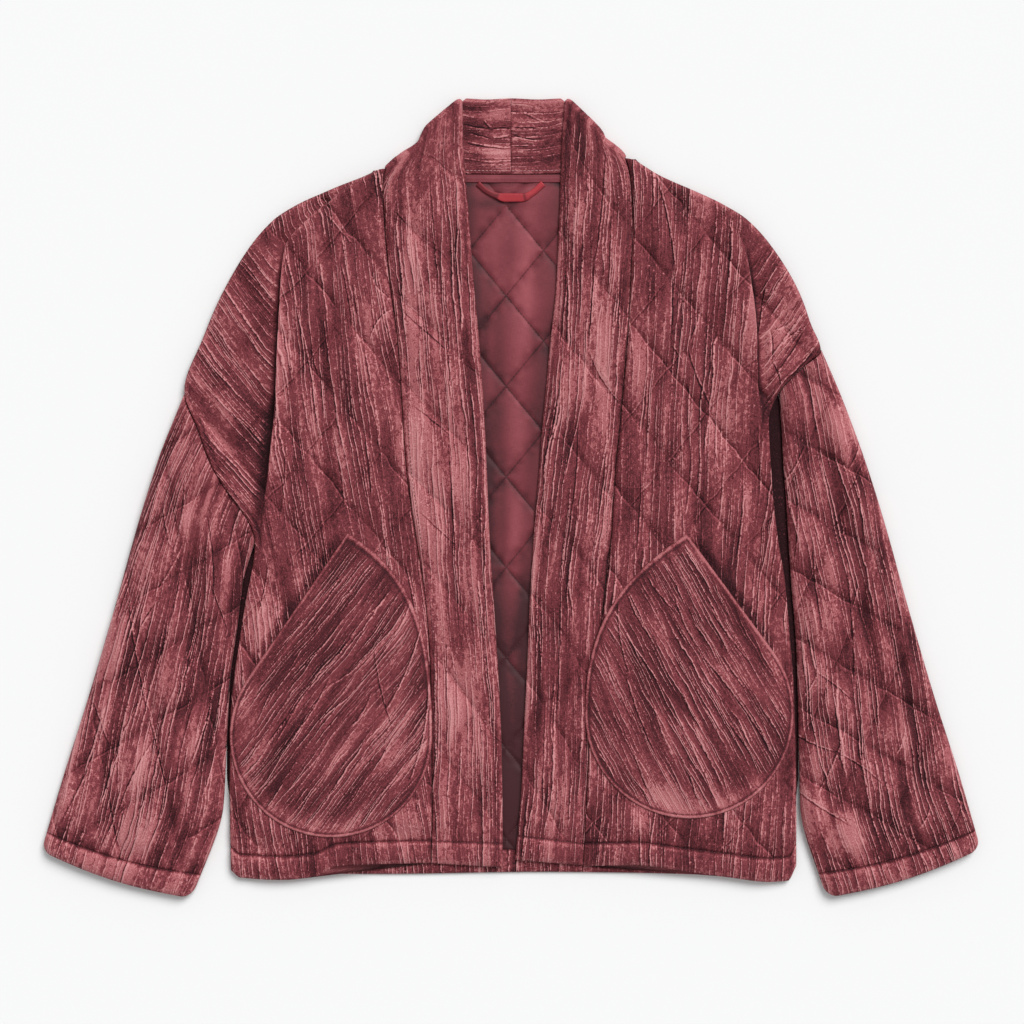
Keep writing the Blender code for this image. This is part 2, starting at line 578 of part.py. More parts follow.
# Bands: up the front, over at the neck and along behind it to the centre back
for side, sign in (("right", -1), ("left", 1)):
    rows = BAND_ROWS[side]
    middle = np.array([((r.free_x + r.seam_x) / 2, (r.free_y + r.seam_y) / 2) for r in rows])
    run = np.r_[0, np.cumsum(np.linalg.norm(np.diff(middle, axis=0), axis=1))]
    body = spaced(np.stack([run, run], axis=1)[[0, -1]], DIAMOND_HEIGHT / STEPS)[:, 0]
    stations = np.r_[0, HEM_DEPTH / 2, HEM_DEPTH, body[body > HEM_DEPTH + 0.012]]
    across = np.linspace(0, 1, BAND_COLUMNS + 1)
    lines = []
    walls = []
    for n, at in enumerate(stations):
        free = np.array([smooth(run, column(rows, "free_x"), at),
                         smooth(run, column(rows, "free_y"), at), 0])
        seam = np.array([smooth(run, column(rows, "seam_x"), at),
                         smooth(run, column(rows, "seam_y"), at), 0])
        lines.append(free + (seam - free) * across[:, None] + (0, 0, FRONT_LEVEL))
        own = puff(np.arange(BAND_COLUMNS + 1), n)
        if n < 3:
            own = np.full(BAND_COLUMNS + 1, (0.4, 0.7, 0.0)[n])
        own = np.where((across == 0) | (across == 1), 0.15, own)
        walls.append(STITCH_WALL + (PUFF_WALL - STITCH_WALL) * own)
    fold = lines[-1].copy()
    along = (fold[-1] - fold[0]) / np.linalg.norm(fold[-1] - fold[0])
    outward = np.array([sign * abs(along[1]), abs(along[0]), 0])
    fold -= outward * FOLD_SINK * np.exp(-((across - FOLD_CREASE) / FOLD_SPREAD) ** 2)[:, None]
    lines[-1] = fold
    walls[-1] = np.full(BAND_COLUMNS + 1, STITCH_WALL)
    middle_z = (FRONT_LEVEL + COLLAR_LEVEL) / 2
    radius = (FRONT_LEVEL - COLLAR_LEVEL) / 2
    for turn in np.radians([45, 90, 135, 180]):
        turned = fold + outward * (radius + 0.0008) * np.sin(turn)
        turned[:, 2] = middle_z + radius * np.cos(turn)
        lines.append(turned)
        walls.append(np.full(BAND_COLUMNS + 1, STITCH_WALL))
    end_free = np.array([sign * CENTRE_BACK, COLLAR_TOP])
    end_seam = np.array([sign * CENTRE_BACK, smooth(
        column(BACK_NECK, "x"), column(BACK_NECK, "y"), 0.0) + GAP])
    for t in (0.25, 0.5, 0.75, 1.0):
        free = fold[0, :2] + (end_free - fold[0, :2]) * t
        free[1] += (COLLAR_TOP - free[1]) * min(1.0, 3 * t)
        seam = fold[-1, :2] + (end_seam - fold[-1, :2]) * t
        neck_y = smooth(column(BACK_NECK, "x"), column(BACK_NECK, "y"), seam[0])
        seam[1] = max(seam[1], neck_y + GAP)
        line = np.zeros((BAND_COLUMNS + 1, 3))
        line[:, :2] = free + (seam - free) * across[:, None]
        line[:, 2] = COLLAR_LEVEL
        lines.append(line)
        walls.append(np.full(BAND_COLUMNS + 1, STITCH_WALL + 0.0015))
    grid = np.array(lines)
    walls = np.array(walls)
    if side == "right":
        grid = grid[:, ::-1]
        walls = walls[:, ::-1]
    wall_from_grid("band_" + side, grid, walls, False, "velvet")

# Sleeves: flat tubes, open at the cuff and at the armhole
for side, sign in (("right", -1), ("left", 1)):
    rows = SLEEVE_ROWS[side]
    middle = np.array([((r.outer_x + r.inner_x) / 2, (r.outer_y + r.inner_y) / 2) for r in rows])
    run = np.r_[0, np.cumsum(np.linalg.norm(np.diff(middle, axis=0), axis=1))]
    body = spaced([(0, 0), (run[-1], 0)], DIAMOND_HEIGHT / STEPS)[:, 0]
    stations = np.r_[body[body < run[-1] - CUFF_DEPTH - 0.012],
                     run[-1] - CUFF_DEPTH, run[-1] - CUFF_DEPTH / 2, run[-1]]
    under = np.linspace(1, 0, SLEEVE_COLUMNS // 2 + 1)
    over = np.linspace(0, 1, SLEEVE_COLUMNS + 1)
    top_row = rows[0]
    start = np.array([top_row.outer_x, top_row.outer_y])
    chord = np.array([top_row.inner_x, top_row.inner_y]) - start
    armhole = curve(FRONT_ROWS[side], "outer_x", "y", SHOULDER_END[side], top_row.inner_y)
    beside = -sign * np.array([chord[1], -chord[0]]) / np.linalg.norm(chord)
    head_at = (armhole - start) @ chord / (chord @ chord)
    head_off = (armhole - start) @ beside + HEAD_ROOM
    rings = []
    walls = []
    for n, at in enumerate(stations):
        outer = np.array([smooth(run, column(rows, "outer_x"), at),
                          smooth(run, column(rows, "outer_y"), at)])
        inner = np.array([smooth(run, column(rows, "inner_x"), at),
                          smooth(run, column(rows, "inner_y"), at)])
        unit = (inner - outer) / np.linalg.norm(inner - outer)
        inset = SLEEVE_SIDE + 0.0020
        outer_end = outer + unit * inset
        inner_end = inner - unit * inset
        down = -sign * np.array([unit[1], -unit[0]])
        bow = smooth(run, column(rows, "bow"), at)
        head = np.clip(1 - at / HEAD_FADE, 0, 1)
        layers = []
        for across in (over, under):
            layer = outer_end + (inner_end - outer_end) * across[:, None]
            dip = bow * np.sin(np.pi * across) * (1 - head)
            dip += head * np.interp(across, head_at, head_off)
            layers.append(layer + down * dip[:, None])
        top, bottom = layers
        ring = np.vstack([
            np.c_[top, np.full(len(top), BACK_WALL + SLEEVE_SLOT)],
            [[*(inner - unit * SLEEVE_SIDE), BACK_WALL + SLEEVE_SLOT / 2]],
            np.c_[bottom, np.full(len(bottom), BACK_WALL)],
            [[*(outer + unit * SLEEVE_SIDE), BACK_WALL + SLEEVE_SLOT / 2]],
        ])
        own = puff(np.arange(SLEEVE_COLUMNS + 1), n)
        last = len(stations) - 1 - n
        if last < 3:
            own = np.full(SLEEVE_COLUMNS + 1, (0.3, 0.7, 0.0)[last])
        top_wall = STITCH_WALL + (PUFF_WALL - STITCH_WALL) * own
        top_wall = top_wall + fold_rise(top[:, 0], top[:, 1], SLEEVE_FOLDS[side])
        walls.append(np.r_[top_wall, SLEEVE_SIDE, np.full(len(bottom), BACK_WALL), SLEEVE_SIDE])
        rings.append(ring)
    grid = np.array(rings)
    walls = np.array(walls)
    if side == "right":
        grid = grid[:, ::-1]
        walls = walls[:, ::-1]
    wall_from_grid("sleeve_" + side, grid, walls, True, "velvet")

# Neck binding: a tape over the back neck seam
at = np.linspace(-TAPE_HALF_LENGTH, TAPE_HALF_LENGTH, 15)
neck_y = smooth(column(BACK_NECK, "x"), column(BACK_NECK, "y"), at)
tape = np.vstack([np.c_[at, neck_y + 0.0005], np.c_[at, neck_y - TAPE_WIDTH][::-1]])
plate("neck_binding", tape, TAPE_LEVEL, TAPE_WALL, "lining")

# Hanger loop: a ribbon that lies on the lining, its ends caught under the tape
path = spaced([(r.x, r.y) for r in LOOP_ROWS], 0.0005)
kernel = np.hanning(21)
padded = np.vstack([path[:1] * np.ones((10, 1)), path, path[-1:] * np.ones((10, 1))])
path = np.stack([np.convolve(padded[:, k], kernel / kernel.sum(), "valid") for k in (0, 1)], 1)
path = spaced(path, 0.004)
heading = np.gradient(path, axis=0)
heading /= np.linalg.norm(heading, axis=1)[:, None]
across = np.stack([-heading[:, 1], heading[:, 0]], axis=1) * LOOP_WIDTH / 2
ribbon = np.vstack([path - across, (path + across)[::-1]])
plate("hanger_loop", ribbon, FRONT_LEVEL, LOOP_WALL, "ribbon")
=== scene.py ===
"""A short quilted coat of crushed velvet with an open front, laid out flat on its back.

Sizes are in metres. Right and left are the wearer's, so right is on the -X side.
"""

from collections import namedtuple

import bpy
import numpy as np
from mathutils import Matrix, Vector


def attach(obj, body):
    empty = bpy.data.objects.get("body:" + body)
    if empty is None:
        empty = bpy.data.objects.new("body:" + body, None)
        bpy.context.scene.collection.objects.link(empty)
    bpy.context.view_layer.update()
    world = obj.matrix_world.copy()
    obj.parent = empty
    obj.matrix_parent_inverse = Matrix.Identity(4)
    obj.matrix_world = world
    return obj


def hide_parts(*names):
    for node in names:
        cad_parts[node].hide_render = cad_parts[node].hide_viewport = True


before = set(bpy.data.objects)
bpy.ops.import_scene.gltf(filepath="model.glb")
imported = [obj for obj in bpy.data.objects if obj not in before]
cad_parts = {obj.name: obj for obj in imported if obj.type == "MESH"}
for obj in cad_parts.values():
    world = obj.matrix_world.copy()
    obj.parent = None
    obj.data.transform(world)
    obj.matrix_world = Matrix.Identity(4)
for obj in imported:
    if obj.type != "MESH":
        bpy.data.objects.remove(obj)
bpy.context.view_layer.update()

# Back
# One panel of quilted velvet and wadding from neck to hem, lying face down on the surface.
# Its hem is turned up inside as a velvet facing, and only that and its cut edges show.
EdgeRow = namedtuple("EdgeRow", "y x")
OUTER_EDGE = {
    "right": [
        EdgeRow(0.3105, -0.131), EdgeRow(0.307, -0.138), EdgeRow(0.293, -0.172),
        EdgeRow(0.279, -0.203), EdgeRow(0.265, -0.225), EdgeRow(0.236, -0.250),
        EdgeRow(0.193, -0.275), EdgeRow(0.151, -0.293), EdgeRow(0.103, -0.310),
        EdgeRow(0.063, -0.296), EdgeRow(0.031, -0.284), EdgeRow(0.004, -0.267),
        EdgeRow(-0.024, -0.248), EdgeRow(-0.040, -0.243), EdgeRow(-0.104, -0.253),
        EdgeRow(-0.164, -0.262), EdgeRow(-0.201, -0.266), EdgeRow(-0.286, -0.267),
        EdgeRow(-0.353, -0.266),
    ],
    "left": [
        EdgeRow(0.3205, 0.119), EdgeRow(0.307, 0.141), EdgeRow(0.293, 0.172),
        EdgeRow(0.279, 0.202), EdgeRow(0.265, 0.224), EdgeRow(0.236, 0.250),
        EdgeRow(0.193, 0.275), EdgeRow(0.165, 0.285), EdgeRow(0.141, 0.294),
        EdgeRow(0.123, 0.275), EdgeRow(0.100, 0.254), EdgeRow(0.075, 0.245),
        EdgeRow(0.015, 0.248), EdgeRow(-0.042, 0.254), EdgeRow(-0.077, 0.260),
        EdgeRow(-0.134, 0.265), EdgeRow(-0.191, 0.269), EdgeRow(-0.305, 0.271),
        EdgeRow(-0.349, 0.271),
    ],
}
BACK_HEM = [
    EdgeRow(-0.353, -0.266), EdgeRow(-0.357, -0.240), EdgeRow(-0.357, -0.120),
    EdgeRow(-0.355, 0.030), EdgeRow(-0.356, 0.120), EdgeRow(-0.359, 0.240),
    EdgeRow(-0.349, 0.271),
]
BACK_NECK = [
    EdgeRow(0.3118, -0.1215), EdgeRow(0.3140, -0.1180), EdgeRow(0.3140, -0.1000),
    EdgeRow(0.3076, -0.060), EdgeRow(0.307, 0.000), EdgeRow(0.3074, 0.058),
    EdgeRow(0.3200, 0.0950), EdgeRow(0.3238, 0.1080), EdgeRow(0.3224, 0.1120),
]
BACK_EDGE = {
    "right": OUTER_EDGE["right"][:14] + [
        EdgeRow(-0.058, -0.2502), EdgeRow(-0.080, -0.2550), EdgeRow(-0.116, -0.2595),
        EdgeRow(-0.172, -0.2670), EdgeRow(-0.230, -0.2700), EdgeRow(-0.262, -0.2700),
        EdgeRow(-0.288, -0.2675), EdgeRow(-0.353, -0.266),
    ],
    "left": OUTER_EDGE["left"][:11] + [
        EdgeRow(0.084, 0.2572), EdgeRow(0.056, 0.2582), EdgeRow(-0.006, 0.2620),
        EdgeRow(-0.072, 0.2660), EdgeRow(-0.148, 0.2715), EdgeRow(-0.224, 0.2733),
        EdgeRow(-0.262, 0.2733), EdgeRow(-0.288, 0.2712), EdgeRow(-0.310, 0.2710),
        EdgeRow(-0.349, 0.271),
    ],
}
BACK_WALL = 0.0038
BACK_TOP = 0.313
BACK_FOOT = -0.353
BACK_SEED = 11
SHOULDER_ROOM = 0.0015
FACING_TOP = -0.334
FACING_WALL = 0.0008
DIAMOND_WIDTH = 0.071
DIAMOND_HEIGHT = 0.086
LINE_GAP = DIAMOND_WIDTH * DIAMOND_HEIGHT / np.hypot(DIAMOND_WIDTH, DIAMOND_HEIGHT)
UNQUILTED = (0.5, 0.5, 0.0)
UNDERSIDE_NAP = 0.32
FLOOR_GAP = 0.0002


def smooth(knots, values, at):
    """Read a curve through the knots that is smooth and never overshoots them."""
    knots = np.asarray(knots, float)
    values = np.asarray(values, float)
    if knots[0] > knots[-1]:
        knots = knots[::-1]
        values = values[::-1]
    step = np.diff(knots)
    slope = np.diff(values) / step
    tangent = np.empty_like(values)
    tangent[0] = slope[0]
    tangent[-1] = slope[-1]
    same = slope[:-1] * slope[1:] > 0
    total = np.where(same, slope[:-1] + slope[1:], 1.0)
    tangent[1:-1] = np.where(same, 2 * slope[:-1] * slope[1:] / total, 0.0)
    at = np.asarray(at, float)
    i = np.clip(np.searchsorted(knots, at) - 1, 0, len(step) - 1)
    t = np.clip((at - knots[i]) / step[i], 0, 1)
    s = 1 - t
    return (values[i] * s * s * (1 + 2 * t) + values[i + 1] * t * t * (1 + 2 * s)
            + step[i] * s * t * (s * tangent[i] - t * tangent[i + 1]))


def along(rows, key, value, at):
    """Read one named column of a table against another."""
    return smooth([getattr(r, key) for r in rows], [getattr(r, value) for r in rows], at)


def ease(x, start, end):
    """Go smoothly from 0 at start to 1 at end."""
    t = np.clip((x - start) / (end - start), 0, 1)
    return t * t * (3 - 2 * t)


def roll(away, radius):
    """Height of a rounded edge at a distance in from it."""
    return np.sqrt(np.clip(1 - (1 - np.clip(away / radius, 0, 1)) ** 2, 0, 1))


def edge_share(away, radius, least):
    """Share of a wall's height near a rounded edge: the least at the edge, all of it inside."""
    return least + (1 - least) * roll(away, radius)


def bell(away, reach):
    """1 at no distance, fading smoothly to almost nothing at twice the reach."""
    return np.exp(-(away / reach) ** 2)


def noise(x, y, seed):
    """Smooth seeded noise of about -1 to 1 with features of about one unit."""
    def corner(i, j):
        h = (i.astype(np.uint32) * np.uint32(374761393) + j.astype(np.uint32) * np.uint32(668265263)
             + np.uint32(seed * 2246822519 % 4294967296))
        h = (h ^ (h >> np.uint32(13))) * np.uint32(1274126177)
        h = (h ^ (h >> np.uint32(16))) * np.uint32(2654435761)
        turn = h.astype(float) * (2 * np.pi / 4294967296.0)
        return np.cos(turn) * (x - i) + np.sin(turn) * (y - j)
    i = np.floor(x).astype(np.int64)
    j = np.floor(y).astype(np.int64)
    u = x - i
    v = y - j
    u = u * u * u * (u * (6 * u - 15) + 10)
    v = v * v * v * (v * (6 * v - 15) + 10)
    low = corner(i, j) * (1 - u) + corner(i + 1, j) * u
    high = corner(i, j + 1) * (1 - u) + corner(i + 1, j + 1) * u
    return 1.5 * (low * (1 - v) + high * v)


Look = namedtuple("Look", "nap fold crisp grain quilt")
RidgeSet = namedtuple("RidgeSet", "gap lift shade amount reach fall")
RIDGE_SETS = [
    RidgeSet(0.0185, 0.0011, 0.16, 1.10, 0.00070, 0.24),
    RidgeSet(0.0080, 0.0005, 0.12, 1.00, 0.00056, 0.16),
    RidgeSet(0.0043, 0.0002, 0.07, 0.86, 0.00050, 0.11),
]
RIDGE_WIDTH = 0.0024


def crushed(run, across, seed):
    """Height in metres, nap, and three sets of broken creases: their phase and how strong each is."""
    across = across + 0.006 * noise(run / 0.180, across / 0.080, seed + 7)
    across = across + 0.0012 * noise(run / 0.038, across / 0.024, seed + 8)
    lively = ease(noise(run / 0.150, across / 0.030, seed + 9), -0.45, 0.30)
    height = 0.0009 * noise(run / 0.060, across / 0.030, seed + 6)
    nap = 0.42 + 0.10 * noise(run / 0.240, across / 0.022, seed)
    laid = noise(run / 0.110, across / 0.011, seed + 1)
    nap = nap + 0.17 * ease(laid, 0.20, 0.34) - 0.10 * ease(-laid, 0.20, 0.34)
    phases = []
    strengths = []
    for n, ridges in enumerate(RIDGE_SETS):
        gap = ridges.gap
        own = seed + 10 * n
        sway = 0.65 * noise(run / 0.240, across / (2.6 * gap), own + 2)
        sway = sway + 0.15 * noise(run / 0.050, across / (1.8 * gap), own + 3)
        phase = across / gap + sway
        line = np.floor(phase)
        broken = noise(run / 0.085 + 13.7 * line, 5.1 * line + 0.5, own + 4)
        strength = ease(broken, -0.16 - 0.05 * n, 0.22) * (0.30 + 0.70 * lively)
        beside = (phase - line - 0.5) * gap
        height = height + ridges.lift * strength * (bell(beside, RIDGE_WIDTH) - 0.25)
        between = np.floor(phase + 0.5)
        nap = nap + ridges.shade * noise(run / 0.110 + 7.3 * between, 3.7 * between + 0.5, own + 5)
        phases.append(phase)
        strengths.append(strength)
    return height, nap, np.stack(phases, -1), np.stack(strengths, -1)


def zipped(first, second, turned):
    """Triangles between two rows of points that have the same ends but different counts."""
    faces = []
    i = 0
    j = 0
    while i < len(first) - 1 or j < len(second) - 1:
        ahead = (i + 1) / (len(first) - 1) <= (j + 1) / (len(second) - 1)
        if j == len(second) - 1 or (ahead and i < len(first) - 1):
            faces.append((first[i + 1], first[i], second[j]))
            i += 1
        else:
            faces.append((second[j], second[j + 1], first[i]))
            j += 1
    return [face[::-1] for face in faces] if turned else faces


Crease = namedtuple("Crease", "start_x start_y end_x end_y bow pale dark")
CREASE_RISE = 0.0011
LIP_REACH = 0.003
SUNK_REACH = 0.0018


def creased(x, y, creases):
    """Distance to the nearest long crease of a list, and the strength of the painted highlight on its
    lip and the painted shade in its line.
    """
    best = np.full(np.shape(x), 1.0)
    crease_shading = np.stack([best, 0 * best, 0 * best], -1)
    for c in creases:
        run_x = c.end_x - c.start_x
        run_y = c.end_y - c.start_y
        length = np.hypot(run_x, run_y)
        part = ((x - c.start_x) * run_x + (y - c.start_y) * run_y) / length ** 2
        off = ((y - c.start_y) * run_x - (x - c.start_x) * run_y) / length
        off = off - 4 * c.bow * part * (1 - part)
        beyond = np.maximum(np.abs(part - 0.5) - 0.5, 0) * length
        fade = np.sin(np.pi * np.clip(part, 0, 1)) ** 0.5
        mine = np.stack([off * np.sign(c.pale), abs(c.pale) * fade, c.dark * fade], -1)
        away = np.hypot(off, beyond)
        crease_shading = np.where((away < best)[..., None], mine, crease_shading)
        best = np.minimum(best, away)
    return crease_shading


def crease_rise(x, y, creases):
    """Height of the lip and the sunk line of the listed long creases."""
    off, pale, dark = np.moveaxis(creased(x, y, creases), -1, 0)
    lip = CREASE_RISE * pale * bell(off - LIP_REACH, LIP_REACH)
    return lip - CREASE_RISE * dark * bell(off, SUNK_REACH)


def unquilted(shape):
    """Quilting numbers for cloth with no lines of stitches."""
    return np.full((*shape, 3), UNQUILTED)


def with_plain(look, spare, nap, axis):
    """A look with rows (axis 0) or columns (axis 1) of plain cloth added after its last ones."""
    shape = list(look.nap.shape)
    shape[axis] = spare
    bare = np.zeros((*shape, 3))
    grain = np.repeat(np.take(look.grain, [-1], axis=axis), spare, axis=axis)
    plain = Look(np.full(shape, nap), bare, bare, grain, unquilted(shape))
    return Look(*(np.concatenate(both, axis=axis) for both in zip(look, plain)))


def quads_between(here, there):
    """Faces between closed rings of points and the rings next to them."""
    quads = np.stack([here, np.roll(here, -1, 1), np.roll(there, -1, 1), there], -1)
    return quads.reshape(-1, 4).tolist()


def close_rings(name, rings, top, look, material, looped=False, capped=0, creases=()):
    """Make a closed mesh of rings: each ring's first points are its upper face."""
    rows, count = rings.shape[:2]
    index = np.arange(rows * count).reshape(rows, count)
    if looped:
        faces = quads_between(index, np.roll(index, -1, 0))
    else:
        faces = quads_between(index[:-1], index[1:])
        cut = capped or top
        for row, turned in ((0, False), (rows - 1, True)):
            faces += zipped(index[row, :cut].tolist(), index[row, cut:][::-1].tolist(), turned)
    look = with_plain(look, count - top, UNDERSIDE_NAP, 1)
    return clothe(name, rings.reshape(-1, 3), faces, look, material, creases)


def placed(name, mesh, material):
    """Put a smooth mesh with its material in the scene."""
    mesh.shade_smooth()
    mesh.materials.append(material)
    obj = bpy.data.objects.new(name, mesh)
    bpy.context.scene.collection.objects.link(obj)
    return obj


def clothe(name, points, faces, look, material, creases=()):
    """Make an object of cloth with its pile tone and painted shading, creases and grain kept at each
    point.
    """
    mesh = bpy.data.meshes.new(name)
    mesh.from_pydata(points.tolist(), [], faces)
    corner = points[np.array([f[:3] for f in faces])]
    volume = np.einsum("ij,ij->", corner[:, 0], np.cross(corner[:, 1], corner[:, 2]))
    if volume < 0:
        mesh.flip_normals()
    mesh.attributes.new("nap", "FLOAT", "POINT").data.foreach_set("value", np.ravel(look.nap))
    kept = {kind: getattr(look, kind) for kind in ("fold", "crisp", "grain", "quilt")}
    kept["crease_shading"] = creased(points[:, 0], points[:, 1], creases)
    for kind, values in kept.items():
        data = mesh.attributes.new(kind, "FLOAT_VECTOR", "POINT").data
        data.foreach_set("vector", np.ravel(values))
    return placed(name, mesh, material)


def underside(upper, level, tuck=0.0025):
    """Points under an upper face, from its last edge back to its first, at the given level."""
    first = upper[:, :1, :]
    last = upper[:, -1:, :]
    width = np.linalg.norm(last - first, axis=2, keepdims=True)
    share = np.minimum(tuck / np.maximum(width, 1e-6), 0.3)
    parts = [1 - 0.15 * share, 1 - share, 0.66 + 0 * share, 0.33 + 0 * share, share, 0.15 * share]
    lower = np.concatenate([first + (last - first) * part for part in parts], axis=1)
    rim = np.concatenate([upper[:, -1, 2:], upper[:, 0, 2:]], axis=1)
    lower[:, 1:5, 2] = level
    lower[:, 0, 2] = rim[:, 0] * 0.45 + np.ravel(level) * 0.55
    lower[:, 5, 2] = rim[:, 1] * 0.45 + np.ravel(level) * 0.55
    return lower


def columns(width, step):
    """Places across a width, closer together at its two rounded edges."""
    edge = np.array([0.0, 0.0005, 0.0014, 0.0027, 0.0045])
    inner = np.linspace(0.0065, width - 0.0065, max(2, round((width - 0.013) / step)))
    return np.r_[edge, inner, width - edge[::-1]] / width


def link(tree, start, end):
    """Join an output to an input."""
    tree.links.new(start, end)


def math_node(tree, operation, a, b=None, c=None):
    """Add a math node and return its output."""
    node = tree.nodes.new("ShaderNodeMath")
    node.operation = operation
    for socket, value in zip(node.inputs, (a, b, c)):
        if value is None:
            continue
        if hasattr(value, "is_output"):
            link(tree, value, socket)
        else:
            socket.default_value = value
    return node.outputs[0]


def grain_noise(tree, grain, scale, detail, distortion):
    """Noise stretched along the cloth's grain."""
    mapping = tree.nodes.new("ShaderNodeMapping")
    mapping.inputs["Scale"].default_value = scale
    link(tree, grain, mapping.inputs["Vector"])
    tex = tree.nodes.new("ShaderNodeTexNoise")
    tex.inputs["Scale"].default_value = 1.0
    tex.inputs["Detail"].default_value = detail
    tex.inputs["Distortion"].default_value = distortion
    link(tree, mapping.outputs[0], tex.inputs["Vector"])
    return tex.outputs["Fac"]


def ramp(tree, factor, stops):
    """Colour ramp from a table of place and colour."""
    node = tree.nodes.new("ShaderNodeValToRGB")
    elements = node.color_ramp.elements
    while len(elements) < len(stops):
        elements.new(0.5)
    for element, (place, colour) in zip(elements, stops):
        element.position = place
        element.color = (*colour, 1.0)
    link(tree, factor, node.inputs[0])
    return node.outputs[0]


def attribute(tree, name):
    """A node that reads what the cloth keeps at its points."""
    node = tree.nodes.new("ShaderNodeAttribute")
    node.attribute_name = name
    return node


def parted(tree, name):
    """The three numbers of a vector that the cloth keeps at its points."""
    node = tree.nodes.new("ShaderNodeSeparateXYZ")
    link(tree, attribute(tree, name).outputs["Vector"], node.inputs[0])
    return node.outputs


def times(tree, a, b):
    """Two fields multiplied."""
    return math_node(tree, "MULTIPLY", a, b)


def added(tree, base, field, amount):
    """A base with an amount of a field added."""
    return math_node(tree, "MULTIPLY_ADD", field, amount, base)


def above(tree, field, level):
    """How far a field stands above a level, and 0 below it."""
    return math_node(tree, "MAXIMUM", math_node(tree, "SUBTRACT", field, level), 0.0)


def swayed(tree, field, wave, amount):
    """A field shifted by noise about its middle."""
    return added(tree, field, math_node(tree, "SUBTRACT", wave, 0.5), amount)


def clear_of(tree, distance, reach):
    """1 at no distance, falling straight to 0 at the reach."""
    return math_node(tree, "MAXIMUM", math_node(
        tree, "SUBTRACT", 1.0, math_node(tree, "DIVIDE", distance, reach)), 0.0)


def stitch_distance(tree, quilt):
    """Distance in metres to the nearest line of quilting."""
    ways = [math_node(tree, "PINGPONG", number, 0.5) for number in quilt[:2]]
    return math_node(tree, "MULTIPLY", math_node(tree, "MINIMUM", *ways), LINE_GAP)


def near(tree, value, centre, reach):
    """1 where a value is at the centre, falling straight to 0 at the reach."""
    off = math_node(tree, "ABSOLUTE", math_node(tree, "SUBTRACT", value, centre))
    return clear_of(tree, off, reach)


def new_material(name):
    """A new material with its node tree and its shader."""
    material = bpy.data.materials.new(name)
    material.use_nodes = True
    tree = material.node_tree
    return material, tree, tree.nodes["Principled BSDF"]


def surface(tree, shader, colour, height, bump, finish):
    """Give a shader its colour, its bump of a strength and distance, and its finish by socket."""
    link(tree, colour, shader.inputs["Base Color"])
    node = tree.nodes.new("ShaderNodeBump")
    node.inputs["Strength"].default_value, node.inputs["Distance"].default_value = bump
    link(tree, height, node.inputs["Height"])
    link(tree, node.outputs[0], shader.inputs["Normal"])
    for socket, value in finish.items():
        shader.inputs[socket].default_value = value


VELVET_COLOURS = [
    (0.00, (0.018, 0.003, 0.005)), (0.16, (0.072, 0.014, 0.019)),
    (0.33, (0.142, 0.027, 0.034)), (0.55, (0.260, 0.056, 0.067)),
    (0.78, (0.430, 0.132, 0.143)), (1.00, (0.640, 0.275, 0.282)),
]
VELVET_FINISH = {
    "Roughness": 0.82, "Specular IOR Level": 0.18, "Sheen Weight": 0.10,
    "Sheen Roughness": 0.38, "Sheen Tint": (0.95, 0.62, 0.62, 1.0),
}
CLOTH_BUMP = (0.8, 1.0)
RIDGE_WAVER = 0.0024
MARK_WAVER = 0.0026


